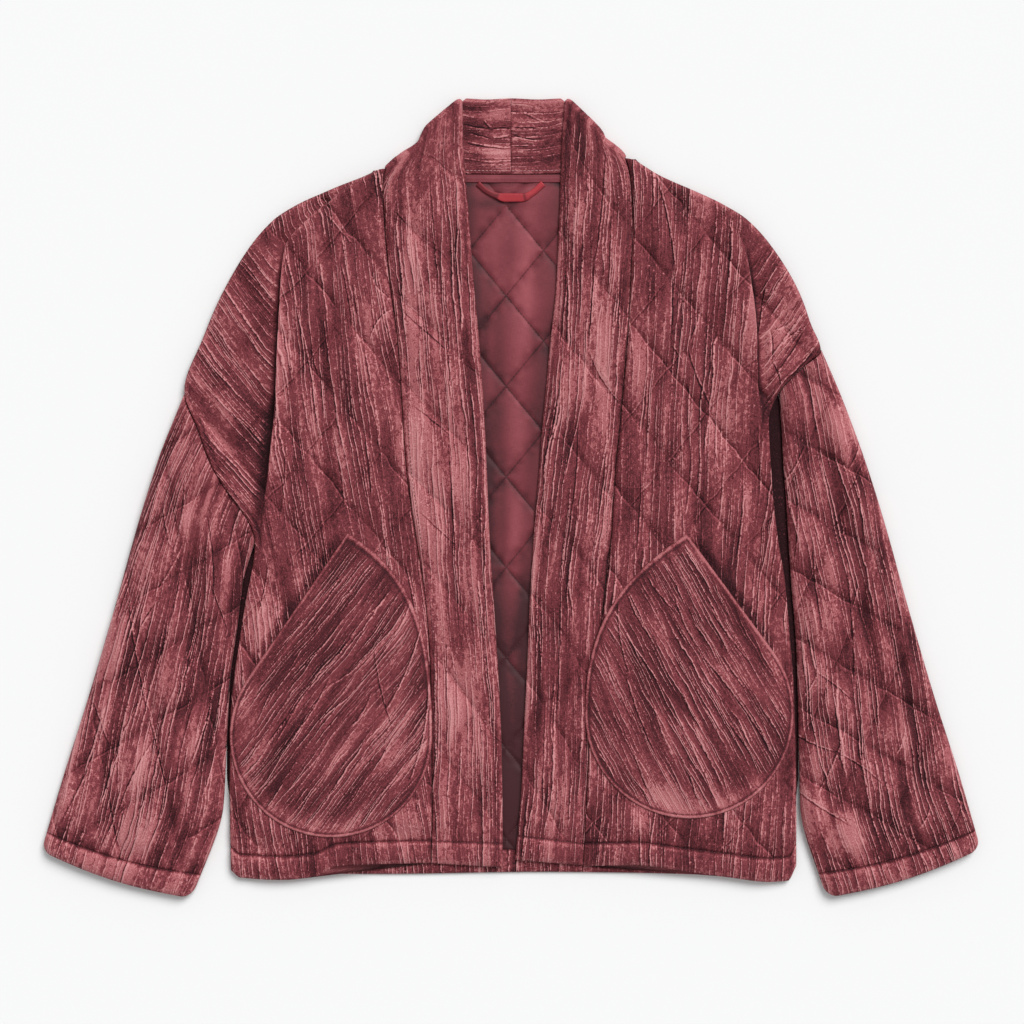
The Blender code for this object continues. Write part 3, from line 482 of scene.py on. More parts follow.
def velvet(name):
    """Crushed velvet: laid pile, long thin ridges with a painted highlight on each crest beside a
    painted-shade crease, and sunk quilting with a painted highlight on one rim.
    """
    material, tree, shader = new_material(name)
    grain = attribute(tree, "grain").outputs["Vector"]
    waver = grain_noise(tree, grain, (95, 150, 1), 3.0, 0.0)
    bead = grain_noise(tree, grain, (430, 430, 1), 1.0, 0.2)
    dash = grain_noise(tree, grain, (105, 430, 1), 2.0, 0.2)
    mottle = grain_noise(tree, grain, (190, 310, 1), 4.0, 0.5)
    strand = grain_noise(tree, grain, (45, 900, 1), 2.0, 0.2)
    pile = grain_noise(tree, grain, (760, 760, 1), 2.0, 0.0)
    cloud = grain_noise(tree, grain, (26, 42, 1), 2.0, 0.4)
    pull = grain_noise(tree, grain, (40, 55, 1), 1.0, 0.0)

    # Nap brushed two ways in ragged patches, with pale specks and strands, and painted glints along the
    # strands.
    nap = attribute(tree, "nap").outputs["Fac"]
    ragged = swayed(tree, swayed(tree, nap, mottle, 1.25), pile, 0.40)
    pale = added(tree, 0.105, nap, 0.40)
    for start, width, amount in ((0.24, 0.10, 0.11), (0.56, 0.09, 0.22)):
        patch = added(tree, -start / width, ragged, 1 / width)
        patch = math_node(tree, "MINIMUM", math_node(tree, "MAXIMUM", patch, 0.0), 1.0)
        pale = added(tree, pale, patch, amount)
    for field, amount in ((mottle, 0.10), (strand, 0.03), (pile, 0.66)):
        pale = swayed(tree, pale, field, amount)
    specks = times(tree, above(tree, bead, 0.62), above(tree, cloud, 0.42))
    pale = added(tree, pale, specks, 16.0)
    pale = added(tree, pale, above(tree, strand, 0.57), 0.25)

    # Ridges broken into beads, each with a painted highlight on its crest, a painted-shadow crease on
    # one side and a painted slant from light to shade on to the next.
    beaded = added(tree, added(tree, -2.42, bead, 4.0), dash, 2.6)
    beaded = math_node(tree, "MAXIMUM", beaded, 0.0)
    height = times(tree, mottle, 0.0005)
    for phase, strength, ridges in zip(parted(tree, "fold"), parted(tree, "crisp"), RIDGE_SETS):
        reach = ridges.reach / ridges.gap
        phase = swayed(tree, phase, waver, RIDGE_WAVER / ridges.gap)
        shade_slant = math_node(tree, "FRACT", math_node(tree, "ADD", phase, 0.5))
        shade_slant = math_node(tree, "SUBTRACT", 0.5, shade_slant)
        phase = math_node(tree, "FRACT", phase)
        crest = times(tree, near(tree, phase, 0.5, reach), strength)
        crease = times(tree, near(tree, phase, 0.5 - 1.5 * reach, 1.1 * reach), strength)
        pale = added(tree, pale, times(tree, crest, beaded), 1.75 * ridges.amount)
        pale = added(tree, pale, crease, -0.36 * ridges.amount)
        pale = added(tree, pale, times(tree, shade_slant, strength), ridges.fall)
        height = added(tree, height, crest, 0.00035 * ridges.amount)
        height = added(tree, height, crease, -0.00048 * ridges.amount)

    # Sunk lines of quilting with painted shade in them and a painted highlight on each lit rim, and the
    # listed long creases, each with painted shade in its line and a painted highlight on its lip and on
    # the strip beside it.
    quilt = parted(tree, "quilt")
    quilt = [swayed(tree, quilt[0], pull, 0.13), swayed(tree, quilt[1], pull, -0.13), quilt[2]]
    away = stitch_distance(tree, quilt)
    stitch_shade = times(tree, clear_of(tree, away, 0.0009), quilt[2])
    groove = times(tree, math_node(tree, "POWER", clear_of(tree, away, 0.0065), 2.0), quilt[2])
    lit_rims = [near(tree, math_node(tree, "FRACT", number), 0.972, 0.016) for number in quilt[:2]]
    rim = times(tree, math_node(tree, "MAXIMUM", *lit_rims), quilt[2])
    off, lip_strength, line_strength = parted(tree, "crease_shading")
    off = swayed(tree, off, waver, MARK_WAVER)
    line = times(tree, clear_of(tree, math_node(tree, "ABSOLUTE", off), 0.0009), line_strength)
    lip = times(tree, times(tree, near(tree, off, 0.0014, 0.0010), beaded), lip_strength)
    strip = times(tree, near(tree, off, 0.0045, 0.0045), lip_strength)
    for field, amount in ((stitch_shade, -0.28), (rim, 0.36), (line, -0.80), (lip, 1.10), (strip, 0.26)):
        pale = added(tree, pale, field, amount)
    for field, amount in ((groove, -0.0015), (strand, 0.0002), (pile, 0.0002)):
        height = added(tree, height, field, amount)
    surface(tree, shader, ramp(tree, pale, VELVET_COLOURS), height, CLOTH_BUMP, VELVET_FINISH)
    return material


def dress(obj, node):
    """Attach a piece of cloth to the root and hide the imported part of the node that it stands for."""
    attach(obj, "root")
    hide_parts(node)


VELVET = velvet("crushed_velvet")
down = np.r_[np.linspace(BACK_TOP, -0.325, 150), np.linspace(-0.329, -0.347, 12),
             -0.3490, -0.3505, -0.3518, -0.3526, BACK_FOOT]
left = along(BACK_EDGE["right"], "y", "x", down)[:, None]
right = along(BACK_EDGE["left"], "y", "x", down)[:, None]
x = left + (right - left) * columns(0.53, 0.0045)[None]
y = down[:, None] + 0 * x
y = y + (along(BACK_NECK, "x", "y", x) - BACK_TOP) * ease(y, 0.270, BACK_TOP)
for side in ("right", "left"):
    shoulder = OUTER_EDGE[side][:6]
    over = np.sign(shoulder[0].x) * x > abs(shoulder[0].x)
    y = np.where(over, np.minimum(y, along(shoulder, "x", "y", x) - SHOULDER_ROOM), y)
y = y + (along(BACK_HEM, "x", "y", x) - BACK_FOOT) * ease(-y, 0.260, -BACK_FOOT)
from_hem = y - along(BACK_HEM, "x", "y", x)
from_side = np.minimum(x - left, right - x)
lift, nap, fold, crisp = crushed(-y, x, BACK_SEED)
# Painted shade on the strip of back seen under each arm, between the front and the sleeve.
under_arm_shade = ease(0.026 - from_side, 0.0, 0.006) * ease(y, -0.300, -0.270) * ease(-y, -0.160, -0.130)
nap = nap * (1 - under_arm_shade) - 0.32 * under_arm_shade
crisp = crisp * (1 - under_arm_shade)[..., None]
thick = BACK_WALL + FACING_WALL * ease(FACING_TOP - y, -0.001, 0.002) + 0.25 * lift
thick = thick - FACING_WALL * bell(y - FACING_TOP + 0.002, 0.0011)
z = 2 * FLOOR_GAP + thick * (0.30 + 0.70 * roll(from_hem, 0.005) * roll(from_side, 0.005))
upper = np.stack([x, y, z], -1)
rings = np.concatenate([upper, underside(upper, FLOOR_GAP)], axis=1)
look = Look(nap, fold, crisp, np.stack([x, y, 0 * x + 3.0], -1), unquilted(x.shape))
back = close_rings("coat_back", rings, x.shape[1], look, VELVET)
dress(back, "back")

# Back lining
# Plain woven cotton quilted to thin wadding in the same diamonds, seen in the open front.
# It is caught under the neck tape and ends on the hem facing.
LINING_ORIGIN = (-0.0046, 0.1065)
LINING_HALF_WIDTH = 0.088
LINING_END = -0.3335
LINING_LEVEL = 0.0046
LINING_REST = 0.0004
LINING_PUFF = 0.0019
LINING_SEED = 71
STITCHED_TO = 0.276
# Painted shade and highlights of soft folds in the lining, and painted shadow under the hanger loop.
LiningShade = namedtuple("LiningShade", "x y wide long lean amount")
LINING_SHADING = [
    LiningShade(-0.0133, 0.0980, 0.0090, 0.0900, 0.02, -0.40),
    LiningShade(0.0086, 0.1126, 0.0086, 0.1140, 0.03, 0.20),
    LiningShade(-0.0162, 0.2361, 0.0066, 0.0522, 0.00, 0.12),
    LiningShade(0.0285, 0.2361, 0.0086, 0.0570, 0.05, -0.18),
    LiningShade(0.0038, -0.0584, 0.0057, 0.0570, 0.02, 0.12),
    LiningShade(-0.0076, -0.0204, 0.0047, 0.0665, 0.00, -0.20),
    LiningShade(-0.0228, 0.1601, 0.0038, 0.0570, 0.04, -0.16),
    LiningShade(-0.0209, 0.2798, 0.0133, 0.0057, 0.00, -0.30),
    LiningShade(0.0047, 0.2798, 0.0152, 0.0038, 0.00, -0.22),
    LiningShade(0.0162, 0.1981, 0.0057, 0.0665, 0.02, 0.14),
    LiningShade(0.0000, 0.2361, 0.0047, 0.0475, 0.00, -0.10),
]
OpenRow = namedtuple("OpenRow", "y right_x left_x")
OPENING = [
    OpenRow(0.310, -0.043, 0.047), OpenRow(0.150, -0.030, 0.037), OpenRow(0.023, -0.023, 0.026),
    OpenRow(-0.100, -0.016, 0.0175), OpenRow(-0.228, -0.009, 0.012), OpenRow(-0.334, -0.008, 0.005),
]
Quilt = namedtuple("Quilt", "loft off cell lines")


def quilted(u, v):
    """Loft, distance to the nearest line of stitches, a number for each diamond, and the lines."""
    loft = np.abs(np.sin(np.pi * u) * np.sin(np.pi * v)) ** 0.6
    off = np.minimum(np.abs(u - np.round(u)), np.abs(v - np.round(v))) * LINE_GAP
    cell = np.abs(np.modf(np.sin(np.floor(u) * 12.99 + np.floor(v) * 78.23) * 4375.85)[0])
    return Quilt(loft, off, cell, np.stack([u, v, 1 + 0 * u], -1))


def diamonds(x, y, origin):
    """The two diagonal lattice coordinates, whole numbers on the lines of stitches."""
    u = (x - origin[0]) / DIAMOND_WIDTH + (y - origin[1]) / DIAMOND_HEIGHT
    v = (x - origin[0]) / DIAMOND_WIDTH - (y - origin[1]) / DIAMOND_HEIGHT
    return u, v


LINING_COLOURS = [
    (0.0, (0.050, 0.008, 0.012)), (0.5, (0.205, 0.034, 0.046)), (1.0, (0.400, 0.092, 0.112)),
]
LINING_FINISH = {
    "Roughness": 0.6, "Specular IOR Level": 0.30, "Sheen Weight": 0.05, "Sheen Roughness": 0.5,
}


def lining_cotton():
    """Plain woven cotton, puckered and darker along the lines of stitches, where shade is painted into
    the sunk lines.
    """
    material, tree, shader = new_material("lining_cotton")
    grain = attribute(tree, "grain").outputs["Vector"]
    warp = grain_noise(tree, grain, (2600, 160, 1), 2.0, 0.0)
    weft = grain_noise(tree, grain, (160, 2600, 1), 2.0, 0.0)
    cloud = grain_noise(tree, grain, (28, 22, 1), 3.0, 0.2)
    pale = attribute(tree, "nap").outputs["Fac"]
    for field, amount in ((warp, 0.30), (weft, 0.30), (cloud, 0.35)):
        pale = swayed(tree, pale, field, amount)
    quilt = parted(tree, "quilt")
    away = stitch_distance(tree, quilt)
    sunk = times(tree, clear_of(tree, away, 0.0013), quilt[2])
    pale = added(tree, pale, sunk, -0.26)
    groove = math_node(tree, "POWER", clear_of(tree, away, 0.0050), 2.0)
    weave = math_node(tree, "ADD", warp, weft)
    height = added(tree, times(tree, groove, -0.0010), weave, 0.00010)
    surface(tree, shader, ramp(tree, pale, LINING_COLOURS), height, CLOTH_BUMP, LINING_FINISH)
    return material


LINING = lining_cotton()
x = np.linspace(-LINING_HALF_WIDTH, LINING_HALF_WIDTH, 92)[None]
share = np.linspace(0, 1, 330)[:, None]
top = along(BACK_NECK, "x", "y", x) - 0.0005
y = top + (LINING_END - top) * share
x = x + 0 * y
u, v = diamonds(x, y, LINING_ORIGIN)
quilt = quilted(u, v)
loft, off, cell = quilt[:3]
pucker = noise(x / 0.008, y / 0.008, LINING_SEED) * bell(off, 0.007)
wave = noise(x / 0.060, y / 0.110, LINING_SEED + 1)
rise = LINING_REST + LINING_PUFF * loft + 0.0006 * pucker + 0.0004 * wave * ease(off, 0.0, 0.010)
rise = rise - 0.0003 * bell(off, 0.0010)
edge = np.minimum(LINING_HALF_WIDTH - np.abs(x), np.minimum(top - y, y - LINING_END))
z = LINING_LEVEL + np.maximum(rise, 0.0002) * ease(edge, -0.002, 0.010)
# Painted light and shade on the soft waves and puckers, and painted shade along the lines of stitches,
# over tone that differs from diamond to diamond.
nap = 0.54 + 0.20 * (cell - 0.5) + 0.27 * wave - 0.12 * bell(off, 0.0060) + 0.20 * pucker
# Painted shadow cast by the two bands along the opening's edges; below, the lining is made darker
# towards the hem.
from_left = along(OPENING, "y", "left_x", y) - x
from_right = x - along(OPENING, "y", "right_x", y)
nap = nap - 0.26 * (1 - ease(from_left, 0.0, 0.020)) - 0.30 * (1 - ease(from_right, 0.0, 0.012))
nap = nap - 0.36 * ease(-y, -0.080, 0.200)
# Painted light and shade of soft folds, and painted shadow under the hanger loop.
for lining_shade_spot in LINING_SHADING:
    away = (x - lining_shade_spot.x - lining_shade_spot.lean * (y - lining_shade_spot.y)) / lining_shade_spot.wide
    nap = nap + lining_shade_spot.amount * np.exp(-away ** 2 - ((y - lining_shade_spot.y) / lining_shade_spot.long) ** 2)
# Painted shadow of the neck tape on the lining just below it.
nap = nap - 0.26 * ease(y, 0.2945, 0.2995)
upper = np.stack([x, y, z], -1)
rings = np.concatenate([upper, underside(upper, LINING_LEVEL - 0.0003)], axis=1)
bare = np.zeros((*x.shape, 3))
quilt.lines[..., 2] = 1 - 0.9 * ease(y, STITCHED_TO - 0.014, STITCHED_TO)
look = Look(nap, bare, bare, np.stack([y, x, 0 * x], -1), quilt.lines)
lining = close_rings("coat_back_lining", rings, x.shape[1], look, LINING)
dress(lining, "back_lining")

STITCH_LONG = 0.0027
STITCH_GAP = 0.0010
STITCH_RADIUS = 0.00034


def thread(name, dark, light):
    """Twisted sewing thread, a little lighter and darker along its length."""
    material, tree, shader = new_material(name)
    place = tree.nodes.new("ShaderNodeTexCoord").outputs["Object"]
    twist = grain_noise(tree, place, (900, 900, 900), 1.0, 0.0)
    link(tree, ramp(tree, twist, [(0.3, dark), (0.7, light)]), shader.inputs["Base Color"])
    shader.inputs["Roughness"].default_value = 0.6
    return material


def sewn(name, paths, material):
    """Rows of stitches along paths, joined as one object: each is a short thread with sunk ends."""
    share = np.array([0.0, 0.15, 0.5, 0.85, 1.0])
    thick = STITCH_RADIUS * np.array([0.4, 0.9, 1.0, 0.9, 0.4])
    sink = -STITCH_RADIUS * np.array([1.2, 0.3, 0.0, 0.3, 1.2])
    turn = np.linspace(0, 2 * np.pi, 7)[:-1]
    points = []
    for path in paths:
        run = np.r_[0, np.cumsum(np.linalg.norm(np.diff(path, axis=0), axis=1))]
        for start in np.arange(0, run[-1] - STITCH_LONG, STITCH_LONG + STITCH_GAP):
            at = start + STITCH_LONG * share
            middle = np.stack([np.interp(at, run, path[:, k]) for k in range(3)], 1)
            heading = middle[-1] - middle[0]
            across = np.array([-heading[1], heading[0], 0.0]) / np.hypot(heading[0], heading[1])
            middle[:, 2] += sink
            ring = np.cos(turn)[:, None] * across + np.sin(turn)[:, None] * np.array([0.0, 0.0, 1.0])
            points.append(middle[:, None] + thick[:, None, None] * ring[None])
    points = np.array(points)
    index = np.arange(points.size // 3).reshape(points.shape[:3])
    there = np.roll(index, -1, 2)
    sides = np.stack([index[:, :-1], there[:, :-1], there[:, 1:], index[:, 1:]], -1)
    faces = sides.reshape(-1, 4).tolist() + index[:, 0, ::-1].tolist() + index[:, -1].tolist()
    mesh = bpy.data.meshes.new(name)
    mesh.from_pydata(points.reshape(-1, 3).tolist(), [], faces)
    obj = placed(name, mesh, material)
    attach(obj, "root")


DARK_THREAD = thread("dark_thread", (0.045, 0.008, 0.012), (0.085, 0.016, 0.022))
PALE_THREAD = thread("pale_thread", (0.420, 0.180, 0.190), (0.620, 0.360, 0.360))
paths = []
y = np.linspace(STITCHED_TO, LINING_END + 0.003, 600)
for number in range(-10, 10):
    for way in (1, -1):
        x = LINING_ORIGIN[0] + DIAMOND_WIDTH * (number - way * (y - LINING_ORIGIN[1]) / DIAMOND_HEIGHT)
        seen = x > along(OPENING, "y", "right_x", y) - 0.002
        seen = seen & (x < along(OPENING, "y", "left_x", y) + 0.002)
        if seen.sum() > 8:
            paths.append(np.stack([x, y, 0 * x + LINING_LEVEL + LINING_REST], 1)[seen])
sewn("coat_lining_stitches", paths, DARK_THREAD)

# Sleeves
# Quilted velvet tubes sewn to the dropped armholes, pressed flat as the coat lies.
# The cuff is a deep turned hem with one row of topstitching.
SleeveRow = namedtuple("SleeveRow", "outer_x outer_y inner_x inner_y bow")
SLEEVE_ROWS = {
    "right": [
        SleeveRow(-0.3135, 0.098, -0.2475, -0.044, 0.0080),
        SleeveRow(-0.335, 0.037, -0.2545, -0.080, 0.005),
        SleeveRow(-0.353, -0.020, -0.2590, -0.116, 0.002),
        SleeveRow(-0.377, -0.106, -0.2665, -0.172, 0.000),
        SleeveRow(-0.402, -0.191, -0.2697, -0.230, 0.003),
        SleeveRow(-0.4245, -0.262, -0.2727, -0.290, 0.006),
        SleeveRow(-0.4460, -0.3345, -0.3030, -0.3795, 0.006),
    ],
    "left": [
        SleeveRow(0.2960, 0.1400, 0.2568, 0.098, 0.000),
        SleeveRow(0.315, 0.094, 0.2575, 0.056, 0.000),
        SleeveRow(0.336, 0.037, 0.2615, -0.006, 0.000),
        SleeveRow(0.354, -0.020, 0.2655, -0.072, 0.000),
        SleeveRow(0.378, -0.106, 0.2712, -0.148, 0.002),
        SleeveRow(0.403, -0.191, 0.2730, -0.224, 0.004),
        SleeveRow(0.426, -0.263, 0.2745, -0.291, 0.006),
        SleeveRow(0.4460, -0.3325, 0.2995, -0.3790, 0.006),
    ],
}
Fold = namedtuple("Fold", "start_x start_y end_x end_y width rise")
SLEEVE_FOLDS = {
    "right": [
        Fold(-0.320, 0.060, -0.400, -0.230, 0.022, 0.0040),
        Fold(-0.272, -0.020, -0.345, -0.330, 0.024, 0.0030),
        Fold(-0.300, 0.020, -0.312, -0.150, 0.010, -0.0035),
        Fold(-0.380, -0.120, -0.372, -0.300, 0.009, -0.0025),
    ],
    "left": [
        Fold(0.300, 0.090, 0.395, -0.240, 0.022, 0.0040),
        Fold(0.285, -0.020, 0.335, -0.330, 0.024, 0.0030),
        Fold(0.292, 0.060, 0.345, -0.160, 0.009, -0.0030),
        Fold(0.345, -0.060, 0.405, -0.290, 0.009, -0.0025),
    ],
}
Way = namedtuple("Way", "turn start")
SLEEVE_QUILTING = {"right": [Way(0.182, -0.3711), Way(2.106, -0.0654)],
                   "left": [Way(-0.419, 0.4005), Way(1.047, -0.0342)]}
CUFF_CORNER = 0.011
SLEEVE_CREASES = {
    "right": [
        Crease(-0.3524, -0.1914, -0.3847, -0.2769, -0.0038, 0.60, 0.70),
        Crease(-0.3411, -0.2313, -0.3734, -0.2978, -0.0019, 0.60, 0.80),
        Crease(-0.3905, -0.2266, -0.4265, -0.3073, 0.0019, 0.40, 0.70),
        Crease(-0.3382, -0.1012, -0.3524, -0.1230, 0.0000, 0.50, 0.70),
        Crease(-0.2812, -0.1772, -0.3002, -0.2503, 0.0019, -0.50, 0.60),
        Crease(-0.2878, -0.0157, -0.2812, -0.0850, 0.0019, -0.30, 0.80),
        Crease(-0.3125, -0.0584, -0.3353, -0.1610, 0.0029, 0.60, 0.40),
        Crease(-0.3734, -0.2978, -0.3905, -0.3339, 0.0000, 0.40, 0.60),
        Crease(-0.3582, -0.0679, -0.3734, -0.1154, 0.0000, 0.40, 0.60),
        Crease(-0.3619, -0.0926, -0.3429, -0.2057, -0.0029, 0.45, 0.80),
        Crease(-0.3429, -0.2057, -0.3277, -0.2684, 0.0000, 0.40, 0.80),
        Crease(-0.3971, -0.1895, -0.3810, -0.2342, 0.0000, 0.45, 0.70),
        Crease(-0.3810, -0.2750, -0.3705, -0.3349, -0.0019, 0.35, 0.80),
        Crease(-0.2841, -0.0822, -0.2688, -0.1240, 0.0000, 0.40, 0.70),
        Crease(-0.3306, -0.0071, -0.3240, -0.0451, 0.0000, 0.40, 0.50),
        Crease(-0.3116, -0.0413, -0.3372, -0.0888, 0.0019, 0.55, 0.30),
        Crease(-0.2954, -0.1154, -0.3182, -0.1914, 0.0029, 0.50, 0.40),
        Crease(-0.3182, -0.2769, -0.2993, -0.1914, 0.0029, -0.40, 0.40),
        Crease(-0.3639, -0.1914, -0.3734, -0.2864, -0.0029, 0.50, 0.50),
        Crease(-0.3429, 0.0556, -0.3639, -0.0299, 0.0038, 0.55, 0.40),
        Crease(-0.3088, 0.0271, -0.3221, -0.0584, 0.0029, 0.50, 0.40),
        Crease(-0.3335, -0.2199, -0.3429, -0.3149, 0.0000, 0.45, 0.30),
        Crease(-0.3088, -0.3054, -0.2954, -0.2484, 0.0019, -0.40, 0.50),
    ],
    "left": [
        Crease(0.2489, -0.1458, 0.2746, -0.1648, -0.0019, 0.45, 0.60),
        Crease(0.2869, -0.1639, 0.3240, -0.1933, 0.0019, 0.45, 0.60),
        Crease(0.2565, -0.2152, 0.3088, -0.2408, -0.0029, 0.50, 0.80),
        Crease(0.3088, -0.2408, 0.3505, -0.2693, 0.0019, 0.45, 0.70),
        Crease(0.3182, -0.2057, 0.2888, -0.2817, 0.0029, 0.60, 0.50),
        Crease(0.2898, -0.1610, 0.2746, -0.1895, 0.0019, 0.60, 0.40),
        Crease(0.2489, -0.2589, 0.3221, -0.3102, -0.0029, 0.50, 0.70),
        Crease(0.2774, 0.0499, 0.2508, 0.0081, 0.0029, 0.55, 0.50),
        Crease(0.3724, -0.2152, 0.3629, -0.2437, 0.0019, 0.60, 0.30),
        Crease(0.3971, -0.2874, 0.3847, -0.3130, 0.0019, 0.60, 0.40),
        Crease(0.2698, 0.0214, 0.2679, -0.0641, 0.0019, 0.45, 0.60),
        Crease(0.2850, -0.0328, 0.2945, -0.1268, -0.0019, 0.55, 0.60),
        Crease(0.3164, -0.0584, 0.3240, -0.1914, 0.0029, 0.40, 0.50),
        Crease(0.3277, -0.0727, 0.3221, -0.1040, 0.0019, 0.60, 0.30),
        Crease(0.3316, 0.0651, 0.3182, 0.0271, 0.0029, 0.50, 0.40),
    ],
}
Patch = namedtuple("Patch", "x y wide long amount")
SLEEVE_PATCHES = {
    "right": [
        Patch(-0.3543, -0.3197, 0.0209, 0.0190, 0.22),
        Patch(-0.3610, -0.3420, 0.0300, 0.0300, 0.20),
        Patch(-0.3695, -0.2722, 0.0114, 0.0209, 0.14),
        Patch(-0.3429, -0.2579, 0.0086, 0.0238, 0.16),
        Patch(-0.3439, -0.1819, 0.0066, 0.0475, 0.20),
        Patch(-0.2717, -0.0442, 0.0086, 0.0266, 0.26),
        Patch(-0.2783, -0.1040, 0.0076, 0.0133, 0.18),
        Patch(-0.3401, -0.0869, 0.0095, 0.0333, 0.10),
        Patch(-0.3658, -0.2123, 0.0066, 0.0238, 0.14),
        Patch(-0.4142, -0.2722, 0.0076, 0.0333, 0.12),
        Patch(-0.3582, -0.1487, 0.0086, 0.0285, -0.15),
        Patch(-0.3515, -0.2085, 0.0076, 0.0171, -0.16),
        Patch(-0.3857, -0.2864, 0.0086, 0.0380, -0.18),
        Patch(-0.3097, -0.1534, 0.0133, 0.0570, -0.10),
        Patch(-0.2850, -0.2057, 0.0076, 0.0475, -0.14),
        Patch(-0.2651, -0.1344, 0.0076, 0.0475, -0.10),
        Patch(-0.2575, -0.0014, 0.0114, 0.0380, 0.14),
    ],
    "left": [
        Patch(0.2936, 0.0746, 0.014, 0.045, 0.28),
        Patch(0.2770, -0.0800, 0.010, 0.075, 0.26),
        Patch(0.3180, 0.0720, 0.014, 0.030, 0.15),
        Patch(0.3126, -0.3150, 0.030, 0.026, 0.30),
        Patch(0.3800, -0.3000, 0.030, 0.050, -0.10),
        Patch(0.3450, -0.1100, 0.020, 0.060, -0.06),
    ],
}
SIDES = (("right", -1), ("left", 1))
ARMHOLE_START = {"right": 0.103, "left": 0.141}
HEAD_ROOM = 0.0004
HEAD_FADE = 0.045
SLEEVE_WIDTH = 0.150
SLEEVE_INSIDE = 0.0074
SLEEVE_MIDDLE = 0.0056
SLEEVE_FLOOR = 0.0042
SLEEVE_LEAST = 0.0015
SLEEVE_ROLL = 0.015
CUFF_ROLL = 0.006
SLEEVE_INSET = 0.055
SLEEVE_OPEN = 0.89
SLEEVE_SLACK = 0.0016
SLEEVE_DRIFT_SEED = 75
SLEEVE_SLACK_SEED = 83
SLEEVE_SEED = {"right": 101, "left": 131}
INSIDE_NAP = 0.25
VELVET_STEP = 0.0018
STITCH_WALL = 0.0035
PUFF_WALL = 0.0085
CUFF_DEPTH = 0.021
PUCKER_SEED = 79
PUCKER_RISE = 0.0007
ROW_SINK = 0.0010
ROW_SHADE = 0.24
RIDGE_HIGHLIGHT = 0.16


def folded(x, y, folds):
    """Height that the listed folds add, fading out to each fold's two ends."""
    rise = np.zeros(np.shape(x))
    for f in folds:
        run_x = f.end_x - f.start_x
        run_y = f.end_y - f.start_y
        length = np.hypot(run_x, run_y)
        part = ((x - f.start_x) * run_x + (y - f.start_y) * run_y) / length ** 2
        off = ((x - f.start_x) * run_y - (y - f.start_y) * run_x) / length
        fade = np.sin(np.pi * np.clip(part, 0, 1)) ** 0.5
        rise = rise + f.rise * fade * bell(off, f.width)
    return rise


def patched(x, y, patches):
    """Nap that is brushed paler or darker in soft upright patches."""
    nap = np.zeros(np.shape(x))
    for p in patches:
        nap = nap + p.amount * np.exp(-((x - p.x) / p.wide) ** 2 - ((y - p.y) / p.long) ** 2)
    return nap


def velvet_relief(run, across, quilt, seed, plane, hidden=-0.44, puff_shading=0.15, vivid=0.85):
    """Crinkle height and look of quilted velvet, calmed and sunk at the lines of stitches, with puffs
    painted paler and their lines painted darker.
    """
    off = quilt.off
    height, nap, fold, crisp = crushed(run, across, seed)
    calm = 0.45 + 0.55 * ease(off, 0.001, 0.008)
    height = height * calm - 0.0008 * bell(off, 0.0016)
    nap = nap + 0.05 * (quilt.cell - 0.5) + puff_shading * (quilt.loft - 0.6)
    crisp = crisp * (0.60 + 0.40 * ease(quilt.cell, 0.10, 0.60))[..., None] * vivid
    shown = ease(noise(run / 0.05, across / 0.05, seed + 8), hidden, hidden + 0.70)
    lines = quilt.lines * [1, 1, 0] + (quilt.lines[..., 2] * shown)[..., None] * [0, 0, 1]
    return height, Look(nap, fold, crisp, np.stack([run, across, 0 * run + plane], -1), lines)


def column(rows, name):
    """One named column of a table."""
    return np.array([getattr(row, name) for row in rows])


def line_of(rows, name):
    """The places of one named line of a table, which has an x and a y column."""
    return np.stack([column(rows, name + "_x"), column(rows, name + "_y")], 1)


def middle_run(rows, first, second):
    """Distance along the middle of two named lines, at each row of their table."""
    middle = (line_of(rows, first) + line_of(rows, second)) / 2
    return np.r_[0, np.cumsum(np.hypot(*np.diff(middle, axis=0).T))]


def line_at(rows, name, run, at):
    """Places on one named line of a table, by distance along its run."""
    return np.stack([smooth(run, places, at) for places in line_of(rows, name).T], -1)


def turned_hem(loft, off, away, depth):
    """Loft and distance to stitches with a turned hem of a depth, and where the hem is."""
    hem = ease(away, depth + 0.004, depth - 0.002)
    off = np.where(away < depth, 0.02, off)
    off = np.minimum(off, np.abs(away - depth))
    loft = loft * (1 - hem) * ease(away, depth, depth + 0.02)
    loft = loft + 0.55 * hem * np.sin(np.pi * np.clip(away / depth, 0, 1)) ** 0.6
    return loft, off, hem


def topstitch(away, depth):
    """The sunk row of stitches that holds a hem, and the ridge just below it, which carry painted shade
    and a painted highlight.
    """
    row = bell(away - depth, 0.0010)
    ridge = bell(away - depth + 0.0028, 0.0014)
    return row, ridge


